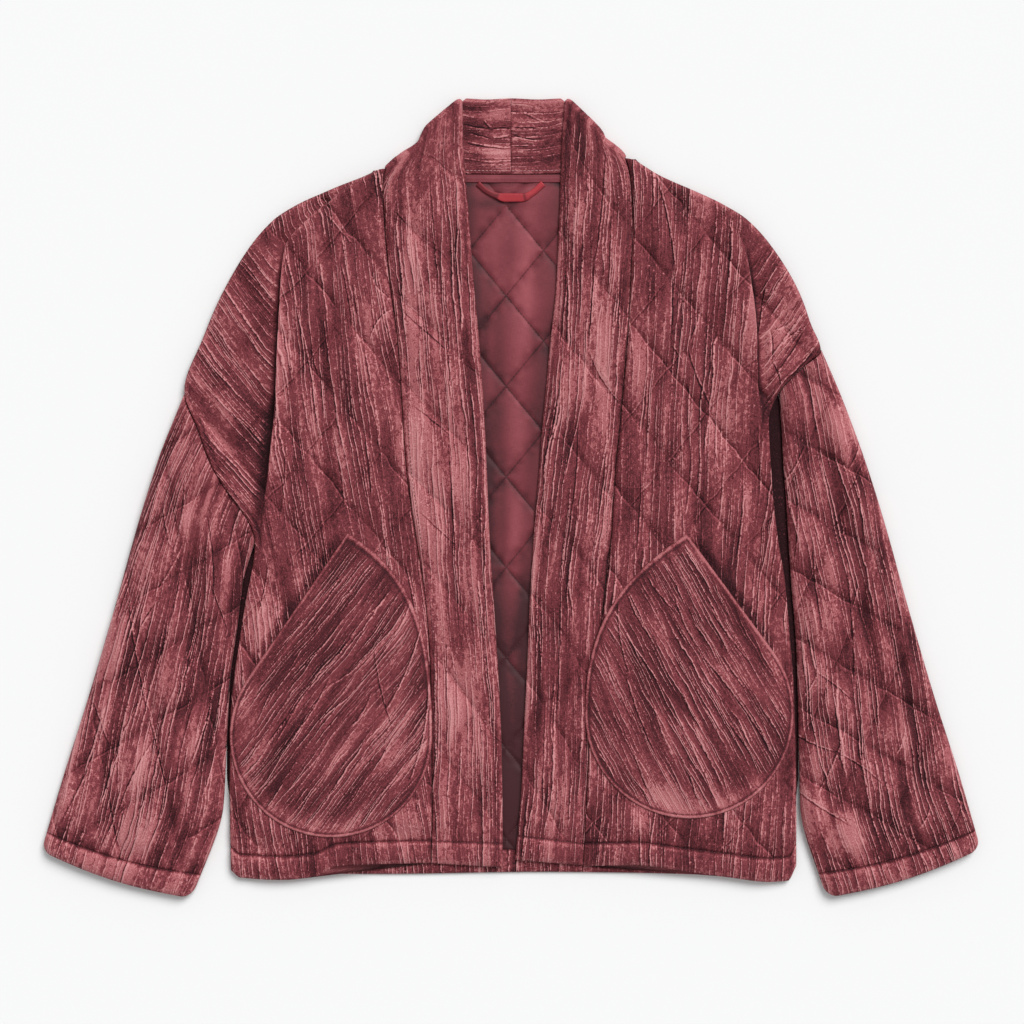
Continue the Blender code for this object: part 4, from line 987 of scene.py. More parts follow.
for side, sign in SIDES:
    rows = SLEEVE_ROWS[side]
    run = middle_run(rows, "outer", "inner")
    length = run[-1]
    steps = np.r_[np.linspace(0, length - 0.0065, round(length / VELVET_STEP)),
                  length - CUFF_DEPTH + np.array([-0.0009, -0.0004, 0.0, 0.0004, 0.0009]),
                  length - np.array([0.0045, 0.0027, 0.0014, 0.0005, 0.0])]
    steps = np.sort(steps)
    start = line_of(rows, "outer")[0]
    chord = line_of(rows, "inner")[0] - start
    armhole_y = np.linspace(ARMHOLE_START[side], rows[0].inner_y, 120)
    armhole = np.stack([along(OUTER_EDGE[side], "y", "x", armhole_y), armhole_y], 1)
    beside = -sign * np.array([chord[1], -chord[0]]) / np.linalg.norm(chord)
    head_at = (armhole - start) @ chord / (chord @ chord)
    head_off = (armhole - start) @ beside + HEAD_ROOM

    def sleeve_points(at, t):
        """Places on the flat plan of the sleeve, by run and by share across."""
        outer = line_at(rows, "outer", run, at)
        inner = line_at(rows, "inner", run, at)
        unit = inner - outer
        unit = unit / np.linalg.norm(unit, axis=-1, keepdims=True)
        away = -sign * np.stack([unit[..., 1], -unit[..., 0]], -1)
        head = np.clip(1 - at / HEAD_FADE, 0, 1)
        dip = smooth(run, column(rows, "bow"), at) * np.sin(np.pi * t) * (1 - head)
        dip = dip + head * np.interp(t, head_at, head_off)
        return outer + (inner - outer) * t[..., None] + away * dip[..., None]

    def rounded(at, t):
        """How far the cuff's edge is drawn back at its two corners."""
        from_side = np.minimum(t, 1 - t) * SLEEVE_WIDTH
        cut = CUFF_CORNER * (1 - roll(from_side, CUFF_CORNER))
        return cut * np.clip(1 - (length - at) / (2 * CUFF_CORNER), 0, 1)

    t = columns(SLEEVE_WIDTH, VELVET_STEP)[None]
    at = steps[:, None] + 0 * t
    t = t + 0 * at
    flat = sleeve_points(at - rounded(at, t), t)
    x = flat[..., 0]
    y = flat[..., 1]
    width = np.linalg.norm(flat[:, -1] - flat[:, 0], axis=1)[:, None]
    across = (t - 0.5) * width
    from_side = np.minimum(t, 1 - t) * width
    from_cuff = length - at

    # Quilting, the turned cuff, slack folds and tone of the upper side, with painted light and shade on
    # its edges, folds and stitched row.
    loft, off, cell, lines = quilted(*(
        (x * np.cos(way.turn) + y * np.sin(way.turn) - way.start) / LINE_GAP
        for way in SLEEVE_QUILTING[side]))
    lines[..., 2] = 0.65 * ((from_cuff > CUFF_DEPTH) & (at > 0.004))
    loft, off, hem = turned_hem(loft, off, from_cuff, CUFF_DEPTH)
    quilt = Quilt(loft, off, cell, lines)
    lift, look = velvet_relief(at, -sign * across, quilt, SLEEVE_SEED[side], 5 + sign,
                               hidden=-0.32, puff_shading=0.34, vivid=1.15)
    wall = STITCH_WALL + (PUFF_WALL - STITCH_WALL) * loft + folded(x, y, SLEEVE_FOLDS[side])
    drift = 0.8 * noise(at / 0.09, across / 0.05, SLEEVE_DRIFT_SEED)
    slack = noise(at / 0.120, across / 0.011 + drift, SLEEVE_SLACK_SEED + sign) * (1 - hem)
    wall = wall + lift + SLEEVE_SLACK * slack + crease_rise(x, y, SLEEVE_CREASES[side])
    wall = np.maximum(wall, SLEEVE_LEAST) * edge_share(from_cuff, CUFF_ROLL, 0.30)
    wall = wall * edge_share(at + 0.0004, 0.006, 0.45)
    # Painted highlight along both rolled sides and the cuff's edge, and painted light and shade on the
    # slack folds.
    nap = look.nap + patched(x, y, SLEEVE_PATCHES[side]) + 0.20 * bell(from_side, 0.006)
    nap = nap + 0.26 * slack
    nap = nap + 0.22 * bell(from_cuff - 0.002, 0.0025)
    row, ridge = topstitch(from_cuff, CUFF_DEPTH)
    pucker = noise(across / 0.007, at / 0.02, PUCKER_SEED)
    pucker = pucker * bell(from_cuff - CUFF_DEPTH, 0.006)
    wall = wall - ROW_SINK * row + PUCKER_RISE * pucker
    # Painted shade in the sunk row, a painted highlight on the ridge below it and painted light and
    # shade on the puckers.
    nap = nap - ROW_SHADE * row + RIDGE_HIGHLIGHT * ridge + 0.32 * pucker + 0.10 * hem
    look = look._replace(nap=nap, crisp=look.crisp * (1 - row)[..., None])
    z = SLEEVE_MIDDLE + (SLEEVE_INSIDE + wall - SLEEVE_MIDDLE) * roll(from_side, SLEEVE_ROLL)
    upper = np.concatenate([flat, z[..., None]], -1)

    # The plain underside and the inside of the tube.
    below = np.array([0.990, 0.920, 0.65, 0.35, 0.080, 0.010])[None] + 0 * steps[:, None]
    lower_at = steps[:, None] + 0 * below
    lower = sleeve_points(lower_at - rounded(lower_at, below), below)
    lower_z = np.array([0.0022, FLOOR_GAP, FLOOR_GAP, FLOOR_GAP, FLOOR_GAP, 0.0022])[None] + 0 * below
    lower = np.concatenate([lower, lower_z[..., None]], -1)
    outside = np.concatenate([upper, lower], axis=1)
    back_steps = np.r_[length - np.array([0.0008, 0.003, 0.008]), np.linspace(length - 0.02, 0.001, 40)]
    inside_t = SLEEVE_INSET + SLEEVE_OPEN * np.r_[t[0], below[0]][None] + 0 * back_steps[:, None]
    inside_at = back_steps[:, None] + 0 * inside_t
    drawn_back = rounded(inside_at, (inside_t - SLEEVE_INSET) / SLEEVE_OPEN)
    inside = sleeve_points(inside_at - drawn_back, inside_t)
    inside_z = np.r_[np.full(t.shape[1], SLEEVE_INSIDE), np.full(below.shape[1], SLEEVE_FLOOR)]
    rim = np.minimum(np.minimum(inside_t, 1 - inside_t) - SLEEVE_INSET, 0.06) / 0.06
    inside_z = SLEEVE_MIDDLE + (inside_z[None] - SLEEVE_MIDDLE) * roll(rim, 1.0)
    inside = np.concatenate([inside, inside_z[..., None]], -1)
    rings = np.concatenate([outside, inside], axis=0)
    look = with_plain(look, len(inside), INSIDE_NAP, 0)
    sleeve = close_rings("coat_sleeve_" + side, rings, t.shape[1], look, VELVET, looped=True,
                         creases=SLEEVE_CREASES[side])
    dress(sleeve, "sleeve_" + side)
    cuff_row = upper[np.argmin(np.abs(steps - length + CUFF_DEPTH)), 6:-6]
    sewn("coat_cuff_stitches_" + side, [cuff_row], DARK_THREAD)

# Fronts
# Quilted velvet panels from shoulder, armhole and side seam in to the band seam.
# Each drops in a deep pleat along the armhole, and its hem is turned up and topstitched.
BandRow = namedtuple("BandRow", "free_x free_y seam_x seam_y")
BAND_ROWS = {
    "right": [
        BandRow(-0.0075, -0.350, -0.0755, -0.346), BandRow(-0.008, -0.284, -0.0745, -0.284),
        BandRow(-0.009, -0.228, -0.0755, -0.222), BandRow(-0.012, -0.165, -0.0765, -0.160),
        BandRow(-0.016, -0.100, -0.0805, -0.100), BandRow(-0.020, -0.039, -0.0895, -0.040),
        BandRow(-0.023, 0.031, -0.0995, 0.031), BandRow(-0.026, 0.094, -0.1035, 0.094),
        BandRow(-0.030, 0.148, -0.1075, 0.151), BandRow(-0.036, 0.215, -0.1155, 0.210),
        BandRow(-0.041, 0.285, -0.1200, 0.262), BandRow(-0.045, 0.336, -0.1215, 0.296),
        BandRow(-0.0460, 0.3772, -0.1185, 0.3125),
    ],
    "left": [
        BandRow(0.004, -0.343, 0.0685, -0.348), BandRow(0.010, -0.272, 0.0715, -0.284),
        BandRow(0.0125, -0.214, 0.0745, -0.222), BandRow(0.0155, -0.155, 0.0805, -0.160),
        BandRow(0.0175, -0.100, 0.0875, -0.100), BandRow(0.021, -0.045, 0.0945, -0.042),
        BandRow(0.026, 0.023, 0.0985, 0.023), BandRow(0.031, 0.084, 0.1045, 0.084),
        BandRow(0.037, 0.146, 0.1105, 0.151), BandRow(0.043, 0.205, 0.1135, 0.210),
        BandRow(0.046, 0.275, 0.1155, 0.268), BandRow(0.048, 0.334, 0.1125, 0.306),
        BandRow(0.0512, 0.3772, 0.1080, 0.3228),
    ],
}
FRONT_HEM = {
    "right": [
        EdgeRow(-0.353, -0.266), EdgeRow(-0.360, -0.257), EdgeRow(-0.362, -0.218),
        EdgeRow(-0.359, -0.187), EdgeRow(-0.349, -0.163), EdgeRow(-0.347, -0.125),
        EdgeRow(-0.346, -0.076), EdgeRow(-0.350, -0.038), EdgeRow(-0.350, -0.008),
    ],
    "left": [
        EdgeRow(-0.343, 0.004), EdgeRow(-0.346, 0.020), EdgeRow(-0.349, 0.060),
        EdgeRow(-0.348, 0.118), EdgeRow(-0.354, 0.165), EdgeRow(-0.360, 0.210),
        EdgeRow(-0.364, 0.245), EdgeRow(-0.363, 0.263), EdgeRow(-0.349, 0.271),
    ],
}
PLEAT_ROWS = {
    "right": [
        EdgeRow(0.299, -0.150), EdgeRow(0.288, -0.165), EdgeRow(0.267, -0.191),
        EdgeRow(0.236, -0.216), EdgeRow(0.170, -0.221), EdgeRow(0.100, -0.224),
        EdgeRow(0.020, -0.232), EdgeRow(-0.015, -0.237),
    ],
    "left": [
        EdgeRow(0.240, 0.222), EdgeRow(0.206, 0.229), EdgeRow(0.160, 0.2335),
        EdgeRow(0.112, 0.2352), EdgeRow(0.075, 0.2385),
    ],
}
PLEAT_SHARE = {"top": 0.80, "foot": 0.92}
PLEAT_RISE = 0.0078
PLEAT_DIP = 0.0030
PLEAT_TUCK = 0.0045
PLEAT_LIP = 0.0035
PLEAT_REACH = 0.050
# How the pleat's painted shadow lies: its middle and width, its darkness, the painted shade and crumpled
# tone of the valley, and where it starts and opens.
PleatShade = namedtuple("PleatShade", "middle wide dark valley crumple starts opens")
PLEAT_SHADE = {"right": PleatShade(0.0030, 0.0052, 0.95, 0.05, 0.04, 0.26, 0.66),
               "left": PleatShade(0.0024, 0.0056, 1.00, 0.30, 0.30, 0.02, 0.84)}
FRONT_FOLDS = {
    "right": [
        Fold(-0.150, 0.240, -0.135, 0.020, 0.026, 0.0030),
        Fold(-0.130, -0.345, -0.095, -0.270, 0.026, 0.0030),
        Fold(-0.185, 0.180, -0.170, 0.000, 0.009, -0.0018),
        Fold(-0.150, 0.060, -0.118, -0.110, 0.008, -0.0016),
        Fold(-0.250, 0.190, -0.232, 0.060, 0.008, -0.0018),
        Fold(-0.290, 0.100, -0.255, 0.020, 0.007, -0.0020),
        Fold(-0.225, -0.020, -0.236, -0.090, 0.008, -0.0015),
    ],
    "left": [
        Fold(0.150, 0.250, 0.140, 0.030, 0.026, 0.0030),
        Fold(0.120, -0.345, 0.100, -0.290, 0.026, 0.0025),
        Fold(0.200, 0.200, 0.196, 0.010, 0.009, -0.0018),
        Fold(0.165, 0.140, 0.150, -0.020, 0.008, -0.0016),
        Fold(0.228, 0.040, 0.242, -0.100, 0.008, -0.0018),
        Fold(0.262, 0.190, 0.247, 0.120, 0.007, -0.0020),
    ],
}
FRONT_CREASES = {
    "right": [
        Crease(-0.1501, 0.2028, -0.1444, 0.1639, 0.0000, 0.60, 0.50),
        Crease(-0.1321, 0.2161, -0.1130, 0.1895, -0.0038, -0.60, 0.50),
        Crease(-0.1140, 0.1800, -0.1340, 0.1506, -0.0038, 0.60, 0.50),
        Crease(-0.1786, 0.2722, -0.1501, 0.2399, 0.0000, 0.50, 0.40),
        Crease(-0.1396, 0.1468, -0.1321, 0.0983, 0.0000, 0.55, 0.50),
        Crease(-0.1900, 0.1411, -0.1834, 0.1173, 0.0000, 0.30, 0.80),
        Crease(-0.1986, 0.1021, -0.1919, 0.0632, 0.0000, 0.55, 0.40),
        Crease(-0.1625, 0.2247, -0.1510, 0.1601, 0.0019, 0.40, 0.60),
        Crease(-0.2042, 0.1886, -0.1966, 0.1202, 0.0019, 0.40, 0.50),
        Crease(-0.1719, 0.0746, -0.1587, -0.0062, 0.0019, 0.50, 0.50),
        Crease(-0.1387, 0.0651, -0.1321, -0.0014, 0.0000, 0.50, 0.60),
        Crease(-0.2137, 0.0556, -0.2195, -0.0204, 0.0019, 0.50, 0.40),
        Crease(-0.2308, -0.0584, -0.2422, -0.1154, 0.0019, 0.50, 0.50),
        Crease(-0.1017, -0.0584, -0.0883, -0.1344, 0.0019, 0.50, 0.50),
    ],
    "left": [
        Crease(0.2413, 0.2057, 0.2337, 0.1553, 0.0000, 0.40, 0.90),
        Crease(0.2460, 0.1601, 0.2470, 0.1297, 0.0019, -0.50, 0.90),
        Crease(0.2470, 0.1297, 0.2555, 0.1050, 0.0019, 0.50, 0.90),
        Crease(0.2764, 0.1582, 0.2498, 0.1183, 0.0019, 0.60, 0.80),
        Crease(0.2869, 0.1411, 0.2594, 0.1116, 0.0019, -0.60, 0.80),
        Crease(0.2802, 0.1639, 0.2555, 0.1458, -0.0019, 0.60, 0.50),
        Crease(0.2584, 0.1924, 0.2460, 0.1734, 0.0000, 0.60, 0.70),
        Crease(0.2498, 0.2038, 0.2404, 0.1829, 0.0000, 0.50, 0.70),
        Crease(0.2679, 0.1715, 0.2480, 0.1601, 0.0019, 0.50, 0.40),
        Crease(0.1358, 0.3111, 0.1548, 0.2161, 0.0029, 0.75, 0.80),
        Crease(0.1539, 0.2142, 0.1520, 0.1544, 0.0000, -0.50, 0.80),
        Crease(0.1986, 0.2418, 0.1957, 0.1990, 0.0000, 0.60, 0.30),
        Crease(0.1672, 0.1468, 0.1919, 0.0841, -0.0038, 0.45, 0.80),
        Crease(0.1862, 0.0784, 0.1815, 0.0413, 0.0000, 0.70, 0.40),
        Crease(0.1520, 0.1449, 0.1615, 0.1306, 0.0000, 0.60, 0.50),
        Crease(0.1795, 0.1886, 0.1681, 0.1458, 0.0019, 0.50, 0.50),
        Crease(0.2109, 0.1886, 0.2071, 0.1411, 0.0000, 0.50, 0.50),
        Crease(0.1283, 0.1316, 0.1226, 0.0556, 0.0019, 0.50, 0.50),
        Crease(0.1701, 0.0556, 0.1643, -0.0157, 0.0019, 0.50, 0.50),
        Crease(0.2004, 0.0461, 0.1948, -0.0299, 0.0019, 0.55, 0.40),
        Crease(0.2195, 0.0271, 0.2128, -0.0584, 0.0019, 0.50, 0.50),
        Crease(0.1226, 0.0271, 0.1168, -0.0584, 0.0019, 0.50, 0.50),
        Crease(0.2337, 0.0746, 0.2366, -0.0014, 0.0000, 0.40, 0.40),
    ],
}
FRONT_PATCHES = {
    "right": [
        Patch(-0.2190, 0.1800, 0.008, 0.060, 0.22),
        Patch(-0.2720, 0.0650, 0.010, 0.035, 0.24),
        Patch(-0.0950, -0.3180, 0.040, 0.012, 0.22),
        Patch(-0.2400, -0.3350, 0.025, 0.014, 0.25),
        Patch(-0.1050, -0.2150, 0.015, 0.045, 0.20),
        Patch(-0.2330, -0.1100, 0.010, 0.060, 0.22),
        Patch(-0.2000, 0.0600, 0.015, 0.060, -0.12),
    ],
    "left": [
        Patch(0.1985, 0.0750, 0.014, 0.030, 0.22),
        Patch(0.1940, -0.0020, 0.010, 0.040, 0.18),
        Patch(0.1240, 0.2550, 0.012, 0.030, 0.20),
        Patch(0.1100, 0.1100, 0.010, 0.050, 0.16),
        Patch(0.1700, 0.2550, 0.020, 0.030, -0.10),
        Patch(0.1510, 0.1800, 0.012, 0.030, -0.08),
        Patch(0.2410, 0.1200, 0.010, 0.050, 0.30),
        Patch(0.2550, 0.1500, 0.008, 0.018, 0.26),
        Patch(0.2700, 0.1650, 0.014, 0.030, 0.20),
        Patch(0.2820, 0.1420, 0.012, 0.016, 0.14),
    ],
}
Pocket = namedtuple("Pocket", "corner_x corner_y centre_x centre_y radius side_y turn_x turn_y")
POCKETS = {
    "right": Pocket(-0.1545, -0.0325, -0.1705, -0.225, 0.096, -0.115, -0.098, -0.068),
    "left": Pocket(0.1665, -0.0335, 0.169, -0.204, 0.099, -0.110, 0.112, -0.070),
}
GRAIN_LEAN = {"right": 0.14, "left": -0.05}
SHOULDER_LEAN = {"right": 0.66, "left": -0.62}
QUILT_ORIGIN = {"right": (-0.0865, -0.086), "left": (0.079, 0.036)}
UNDERARM = {"right": -0.040, "left": 0.075}
FRONT_SEED = {"right": 201, "left": 241}
FRONT_LOW = 0.0046
FRONT_LEVEL = 0.0072
EDGE_ROLL = 0.045
SEAM_ROOM = 0.0004
SEAM_ROLL = 0.0045
HEM_ROLL = 0.007
LEAST_WALL = 0.0012
HEM_DEPTH = 0.022
NECK_LIFT = 0.0030
POCKET_BED = 0.0062
CRUMPLE_SEED = 83


def pocket_outline(side, sign):
    """Points round a pocket from its corner: the hand opening, the bag and the inner side."""
    pocket = POCKETS[side]
    corner = np.array([pocket.corner_x, pocket.corner_y])
    centre = np.array([pocket.centre_x, pocket.centre_y])
    reach = centre - corner
    lean = np.arctan2(reach[1], reach[0])
    half = np.arccos(pocket.radius / np.linalg.norm(reach))
    outer = max((lean + np.pi - half, lean - np.pi + half), key=lambda turn: sign * np.cos(turn))
    inner = np.pi if sign > 0 else 0.0
    turn = np.linspace(outer % (2 * np.pi) + sign * 2 * np.pi, inner, 200)
    bag = centre + pocket.radius * np.stack([np.cos(turn), np.sin(turn)], axis=1)
    t = np.linspace(0, 1, 90)[:, None]
    mouth = corner + (bag[0] - corner) * t
    side_in = np.array([bag[-1, 0], pocket.side_y])
    turn_in = np.array([pocket.turn_x, pocket.turn_y])
    back_up = (bag[-1] * (1 - t) ** 3 + side_in * 3 * t * (1 - t) ** 2
               + turn_in * 3 * t ** 2 * (1 - t) + corner * t ** 3)
    return centre, np.vstack([mouth[:-1], bag[:-1], back_up[:-1]]), len(mouth) - 1


def inside_pocket(x, y, side, sign):
    """Distance in from a pocket's edge, negative outside it."""
    centre, outline = pocket_outline(side, sign)[:2]
    turn = np.arctan2(outline[:, 1] - centre[1], outline[:, 0] - centre[0])
    order = np.argsort(turn)
    reach = np.hypot(*(outline - centre).T)[order]
    at = np.arctan2(y - centre[1], x - centre[0])
    edge = np.interp(at, turn[order], reach, period=2 * np.pi)
    return edge - np.hypot(x - centre[0], y - centre[1])


def beside_mouth(x, y, side, sign):
    """How far out from a pocket's hand opening, with how near its middle the place is."""
    outline, mouth = pocket_outline(side, sign)[1:]
    run = outline[mouth] - outline[0]
    length = np.linalg.norm(run)
    part = ((x - outline[0, 0]) * run[0] + (y - outline[0, 1]) * run[1]) / length ** 2
    out = ((x - outline[0, 0]) * run[1] - (y - outline[0, 1]) * run[0]) / length
    return out * -sign, ease(part, 0.0, 0.12) * ease(-part, -1.02, -0.88)


def front_inside(x, y, outer, slope, side):
    """Inside of a front: low along its closed edges and up over the lining elsewhere."""
    away = np.abs(outer - x) / np.hypot(1, slope)
    open_y = np.minimum(ARMHOLE_START[side] + 0.015 - y, y - UNDERARM[side] + 0.015)
    away = np.hypot(away, np.maximum(0, open_y))
    return FRONT_LOW + (FRONT_LEVEL - FRONT_LOW) * ease(away, 0, EDGE_ROLL)


def leaning(x, y, lean):
    """Run along and place across a grain that leans from straight down."""
    return x * np.sin(lean) - y * np.cos(lean), x * np.cos(lean) + y * np.sin(lean)


def blended(a, b, share):
    """Mix two looks."""
    wide = share[..., None]
    return Look(a.nap * (1 - share) + b.nap * share, np.where(wide < 0.5, a.fold, b.fold),
                np.where(wide < 0.5, a.crisp, b.crisp) * np.abs(1 - 2 * wide),
                np.where(wide < 0.5, a.grain, b.grain), a.quilt)


SEAM_TO_PLEAT = np.r_[0, 0.004, 0.011, 0.021, 0.035, np.linspace(0.05, 0.95, 60),
                      0.962, 0.972, 0.981, 0.989, 0.995]
PLEAT_TO_EDGE = np.r_[0, 0.008, 0.018, 0.030, 0.046, np.linspace(0.066, 0.92, 40),
                      0.945, 0.965, 0.980, 0.992, 1.0]
for side, sign in SIDES:
    edge = OUTER_EDGE[side]
    pleat = PLEAT_ROWS[side]
    foot = edge[-1].y
    down = np.r_[np.linspace(edge[0].y - 0.0008, foot + 0.0085, 365),
                 foot + HEM_DEPTH + np.array([0.0009, 0.0004, 0.0, -0.0004, -0.0009]),
                 foot + np.array([0.0065, 0.0045, 0.0027, 0.0014, 0.0005, 0.0])]
    down = np.sort(down)[::-1]
    outer = along(edge, "y", "x", down)
    slope = np.gradient(outer, down)[:, None]
    seam = along(BAND_ROWS[side], "seam_y", "seam_x", down) + sign * SEAM_ROOM
    knot_y = np.r_[edge[0].y, column(pleat, "y"), pleat[-1].y - 0.060, foot]
    whole = np.interp(knot_y, down[::-1], (outer - seam)[::-1])
    foot_share = PLEAT_SHARE["foot"]
    knot_share = np.r_[PLEAT_SHARE["top"], 0 * column(pleat, "x"), foot_share, foot_share]
    knot_x = np.interp(knot_y, down[::-1], seam[::-1]) + whole * knot_share
    knot_x[1:-2] = column(pleat, "x")
    pleat_x = smooth(knot_y, knot_x, down)[:, None]
    outer = outer[:, None]
    seam = seam[:, None]
    x = np.hstack([seam + (pleat_x - seam) * SEAM_TO_PLEAT, pleat_x + (outer - pleat_x) * PLEAT_TO_EDGE])
    y0 = down[:, None] + 0 * x
    hem_y = along(FRONT_HEM[side], "x", "y", x)
    y = y0 + (hem_y - foot) * ease(-y0, -foot - 0.160, -foot)
    beside_neck = 1 - ease(np.abs(x - seam), 0.0, 0.014)
    y = y + NECK_LIFT * ease(y0, edge[0].y - 0.035, edge[0].y) * beside_neck
    from_hem = y0 - foot
    from_seam = np.abs(x - seam)
    from_edge = np.abs(outer - x) / np.hypot(1, slope)
    armhole = ease(y0, UNDERARM[side] - 0.012, UNDERARM[side]) * ease(
        -y0, -ARMHOLE_START[side] - 0.008, -ARMHOLE_START[side] + 0.004)
    level = front_inside(x, y0, outer, slope, side)

    # Quilting and two directions of grain, one on each side of the pleat.
    u, v = diamonds(x, y, QUILT_ORIGIN[side])
    loft, off, cell, lines = quilted(u, v)
    lines[..., 2] = 0.8 * ((from_hem > HEM_DEPTH) & ((armhole < 0.5) | (from_edge > 0.006)))
    loft, off, _ = turned_hem(loft, off, from_hem, HEM_DEPTH)
    off = np.minimum(off, np.where(armhole > 0.5, np.abs(from_edge - 0.005), 1.0))
    quilt = Quilt(loft, off, cell, lines)
    seed = FRONT_SEED[side]
    lift, look = velvet_relief(*leaning(x, y, GRAIN_LEAN[side]), quilt, seed, 9 + sign)
    lift_out, look_out = velvet_relief(*leaning(x, y, SHOULDER_LEAN[side]), quilt, seed + 17, 13 + sign)
    beside = (x - pleat_x) * -sign
    outside = ease(-beside, -0.004, 0.010) * ease(-y0, -0.262, -0.225) * ease(
        y0, UNDERARM[side] - 0.045, UNDERARM[side])
    lift = lift * (1 - outside) + lift_out * outside
    look = blended(look, look_out, outside)
    look.quilt[..., 2] *= 1 - outside

    # The pleat: a raised roll with a sunk line beside it.
    part = np.clip((pleat[0].y - y0) / (pleat[0].y - pleat[-1].y), 0, 1)
    fade = np.sin(np.pi * (0.04 + 0.92 * part)) ** 0.6
    fade = fade * bell(np.maximum(0, y0 - pleat[0].y), 0.02)
    fade = fade * bell(np.maximum(0, pleat[-1].y - y0), 0.02)
    rise = PLEAT_RISE * fade * ease(beside, -0.001, 0.003) * np.clip(1 - beside / PLEAT_REACH, 0, 1)
    rise = rise - PLEAT_DIP * fade * bell(beside + 0.005, 0.006)
    tuck = PLEAT_TUCK * bell(beside + 0.001, 0.004)
    lip = PLEAT_LIP * bell(beside - 0.004, 0.005)
    x_laid = x - sign * fade * (tuck - lip)

    # Wall and tone, level under the pocket and rolled at the edges, with painted highlights on the
    # rolled edges and the pleat's lip, and painted shade in the stitched row, the pleat's gap and valley
    # and beside the pocket's hand opening.
    wall = STITCH_WALL + (PUFF_WALL - STITCH_WALL) * loft
    in_pocket = inside_pocket(x, y, side, sign)
    wall = wall + (POCKET_BED - wall) * ease(in_pocket, -0.012, 0.0)
    lift = lift * ease(-in_pocket, -0.002, 0.006)
    wall = wall + folded(x, y, FRONT_FOLDS[side]) + lift + crease_rise(x, y, FRONT_CREASES[side])
    edge_roll = (1 - armhole) * edge_share(from_edge, 0.007, 0.30)
    edge_roll = edge_roll + armhole * edge_share(from_edge, 0.004, 0.50)
    wall = np.maximum(wall + rise, LEAST_WALL) * edge_roll
    wall = wall * edge_share(from_hem, HEM_ROLL, 0.28) * edge_share(from_seam, SEAM_ROLL, 0.45)
    nap = look.nap + patched(x, y, FRONT_PATCHES[side])
    # Painted highlights along the rolled hem, the outer edge and the pleat's lip.
    nap = nap + 0.20 * bell(from_hem - 0.002, 0.0025)
    nap = nap + 0.15 * (1 - armhole) * bell(from_edge - 0.002, 0.002)
    nap = nap + 0.25 * fade * bell(beside - 0.004, 0.0025)
    row, ridge = topstitch(from_hem, HEM_DEPTH)
    pucker = noise(x / 0.007, y / 0.02, PUCKER_SEED)
    pucker = pucker * bell(from_hem - HEM_DEPTH, 0.006)
    wall = wall - ROW_SINK * row + PUCKER_RISE * pucker
    # Painted shade in the sunk row, a painted highlight on the ridge below it and painted light and
    # shade on the puckers.
    nap = nap - ROW_SHADE * row + RIDGE_HIGHLIGHT * ridge + 0.16 * pucker
    seam_row = armhole * bell(from_edge - 0.0052, 0.0013)
    nap = nap - 0.30 * seam_row
    # Painted shadow in the pleat's gap and painted shade in its valley, with crumpled tone in the shade.
    shade = PLEAT_SHADE[side]
    opened = ease(part, shade.opens - 0.04, shade.opens + 0.08)
    middle_line = shade.middle * (0.6 + 0.4 * opened)
    gap_width = shade.wide * (0.36 + 0.64 * opened)
    gap = fade * ease(part, shade.starts - 0.08, shade.starts + 0.06)
    gap = gap * bell(beside + middle_line, gap_width)
    nap = nap - shade.dark * gap
    valley = fade * opened * ease(-beside, 0.002, 0.006) * (1 - ease(-beside, 0.014, 0.030))
    crumple = noise(x / 0.006, y / 0.011, CRUMPLE_SEED)
    nap = nap + valley * (shade.crumple * crumple - shade.valley)
    wall = wall + 0.0012 * valley * crumple * (shade.crumple > 0.1)
    look = look._replace(crisp=look.crisp * ((1 - row) * (1 - gap))[..., None])
    # Painted shadow on the front beside the pocket's standing hand opening.
    out, middle = beside_mouth(x, y, side, sign)
    nap = nap - 0.40 * middle * ease(out, -0.004, 0.0005) * (1 - ease(out, 0.003, 0.012))
    look = look._replace(nap=nap)
    upper = np.stack([x_laid, y, level + wall], -1)
    lower = underside(upper, 0.0)
    lower[..., 2] = level[:, [-1, -1, 80, 40, 0, 0]]
    lower[:, [0, 5], 2] += 0.0008
    rings = np.concatenate([upper, lower], axis=1)
    front = close_rings("coat_front_" + side, rings, x.shape[1], look, VELVET,
                        creases=FRONT_CREASES[side])
    dress(front, "front_" + side)
    hem_row = upper[np.argmin(np.abs(down - foot - HEM_DEPTH)), 4:-6]
    sewn("coat_hem_stitches_" + side, [hem_row], DARK_THREAD)

# Bands and collar
# One long quilted strip a side: up the front edge, over at the neck and on to the centre back.
# It is sewn to the front along a sunk seam, and its free edge is rolled.
FoldRow = namedtuple("FoldRow", "share right left")
FOLD_ROWS = [
    FoldRow(0.00, 0.0, 0.0), FoldRow(0.28, -0.0008, 0.0), FoldRow(0.41, -0.0010, -0.0002),
    FoldRow(0.51, 0.0018, 0.0), FoldRow(0.60, 0.0054, 0.0012), FoldRow(0.66, 0.0050, 0.0032),
    FoldRow(0.74, 0.0034, 0.0025), FoldRow(0.86, 0.0018, 0.0015), FoldRow(1.00, 0.0, 0.0),
]
COLLAR_LEVEL = 0.0055
COLLAR_TOP = 0.3802
COLLAR_WAVE = 0.0010
COLLAR_SEAM = 0.3075
CENTRE_GAP = 0.00005
COLLAR_RUN = 0.085
TURN_STEP = 0.0012
BAND_WIDTH = 0.072
BAND_PHASE = 0.37
BAND_SLACK = 0.0008
BAND_DRIFT_SEED = 315
BAND_SLACK_SEED = 317
BAND_SEED = {"right": 301, "left": 341}
BAND_NAP = {"right": 0.10, "left": 0.02}
COLLAR_NAP = 0.17
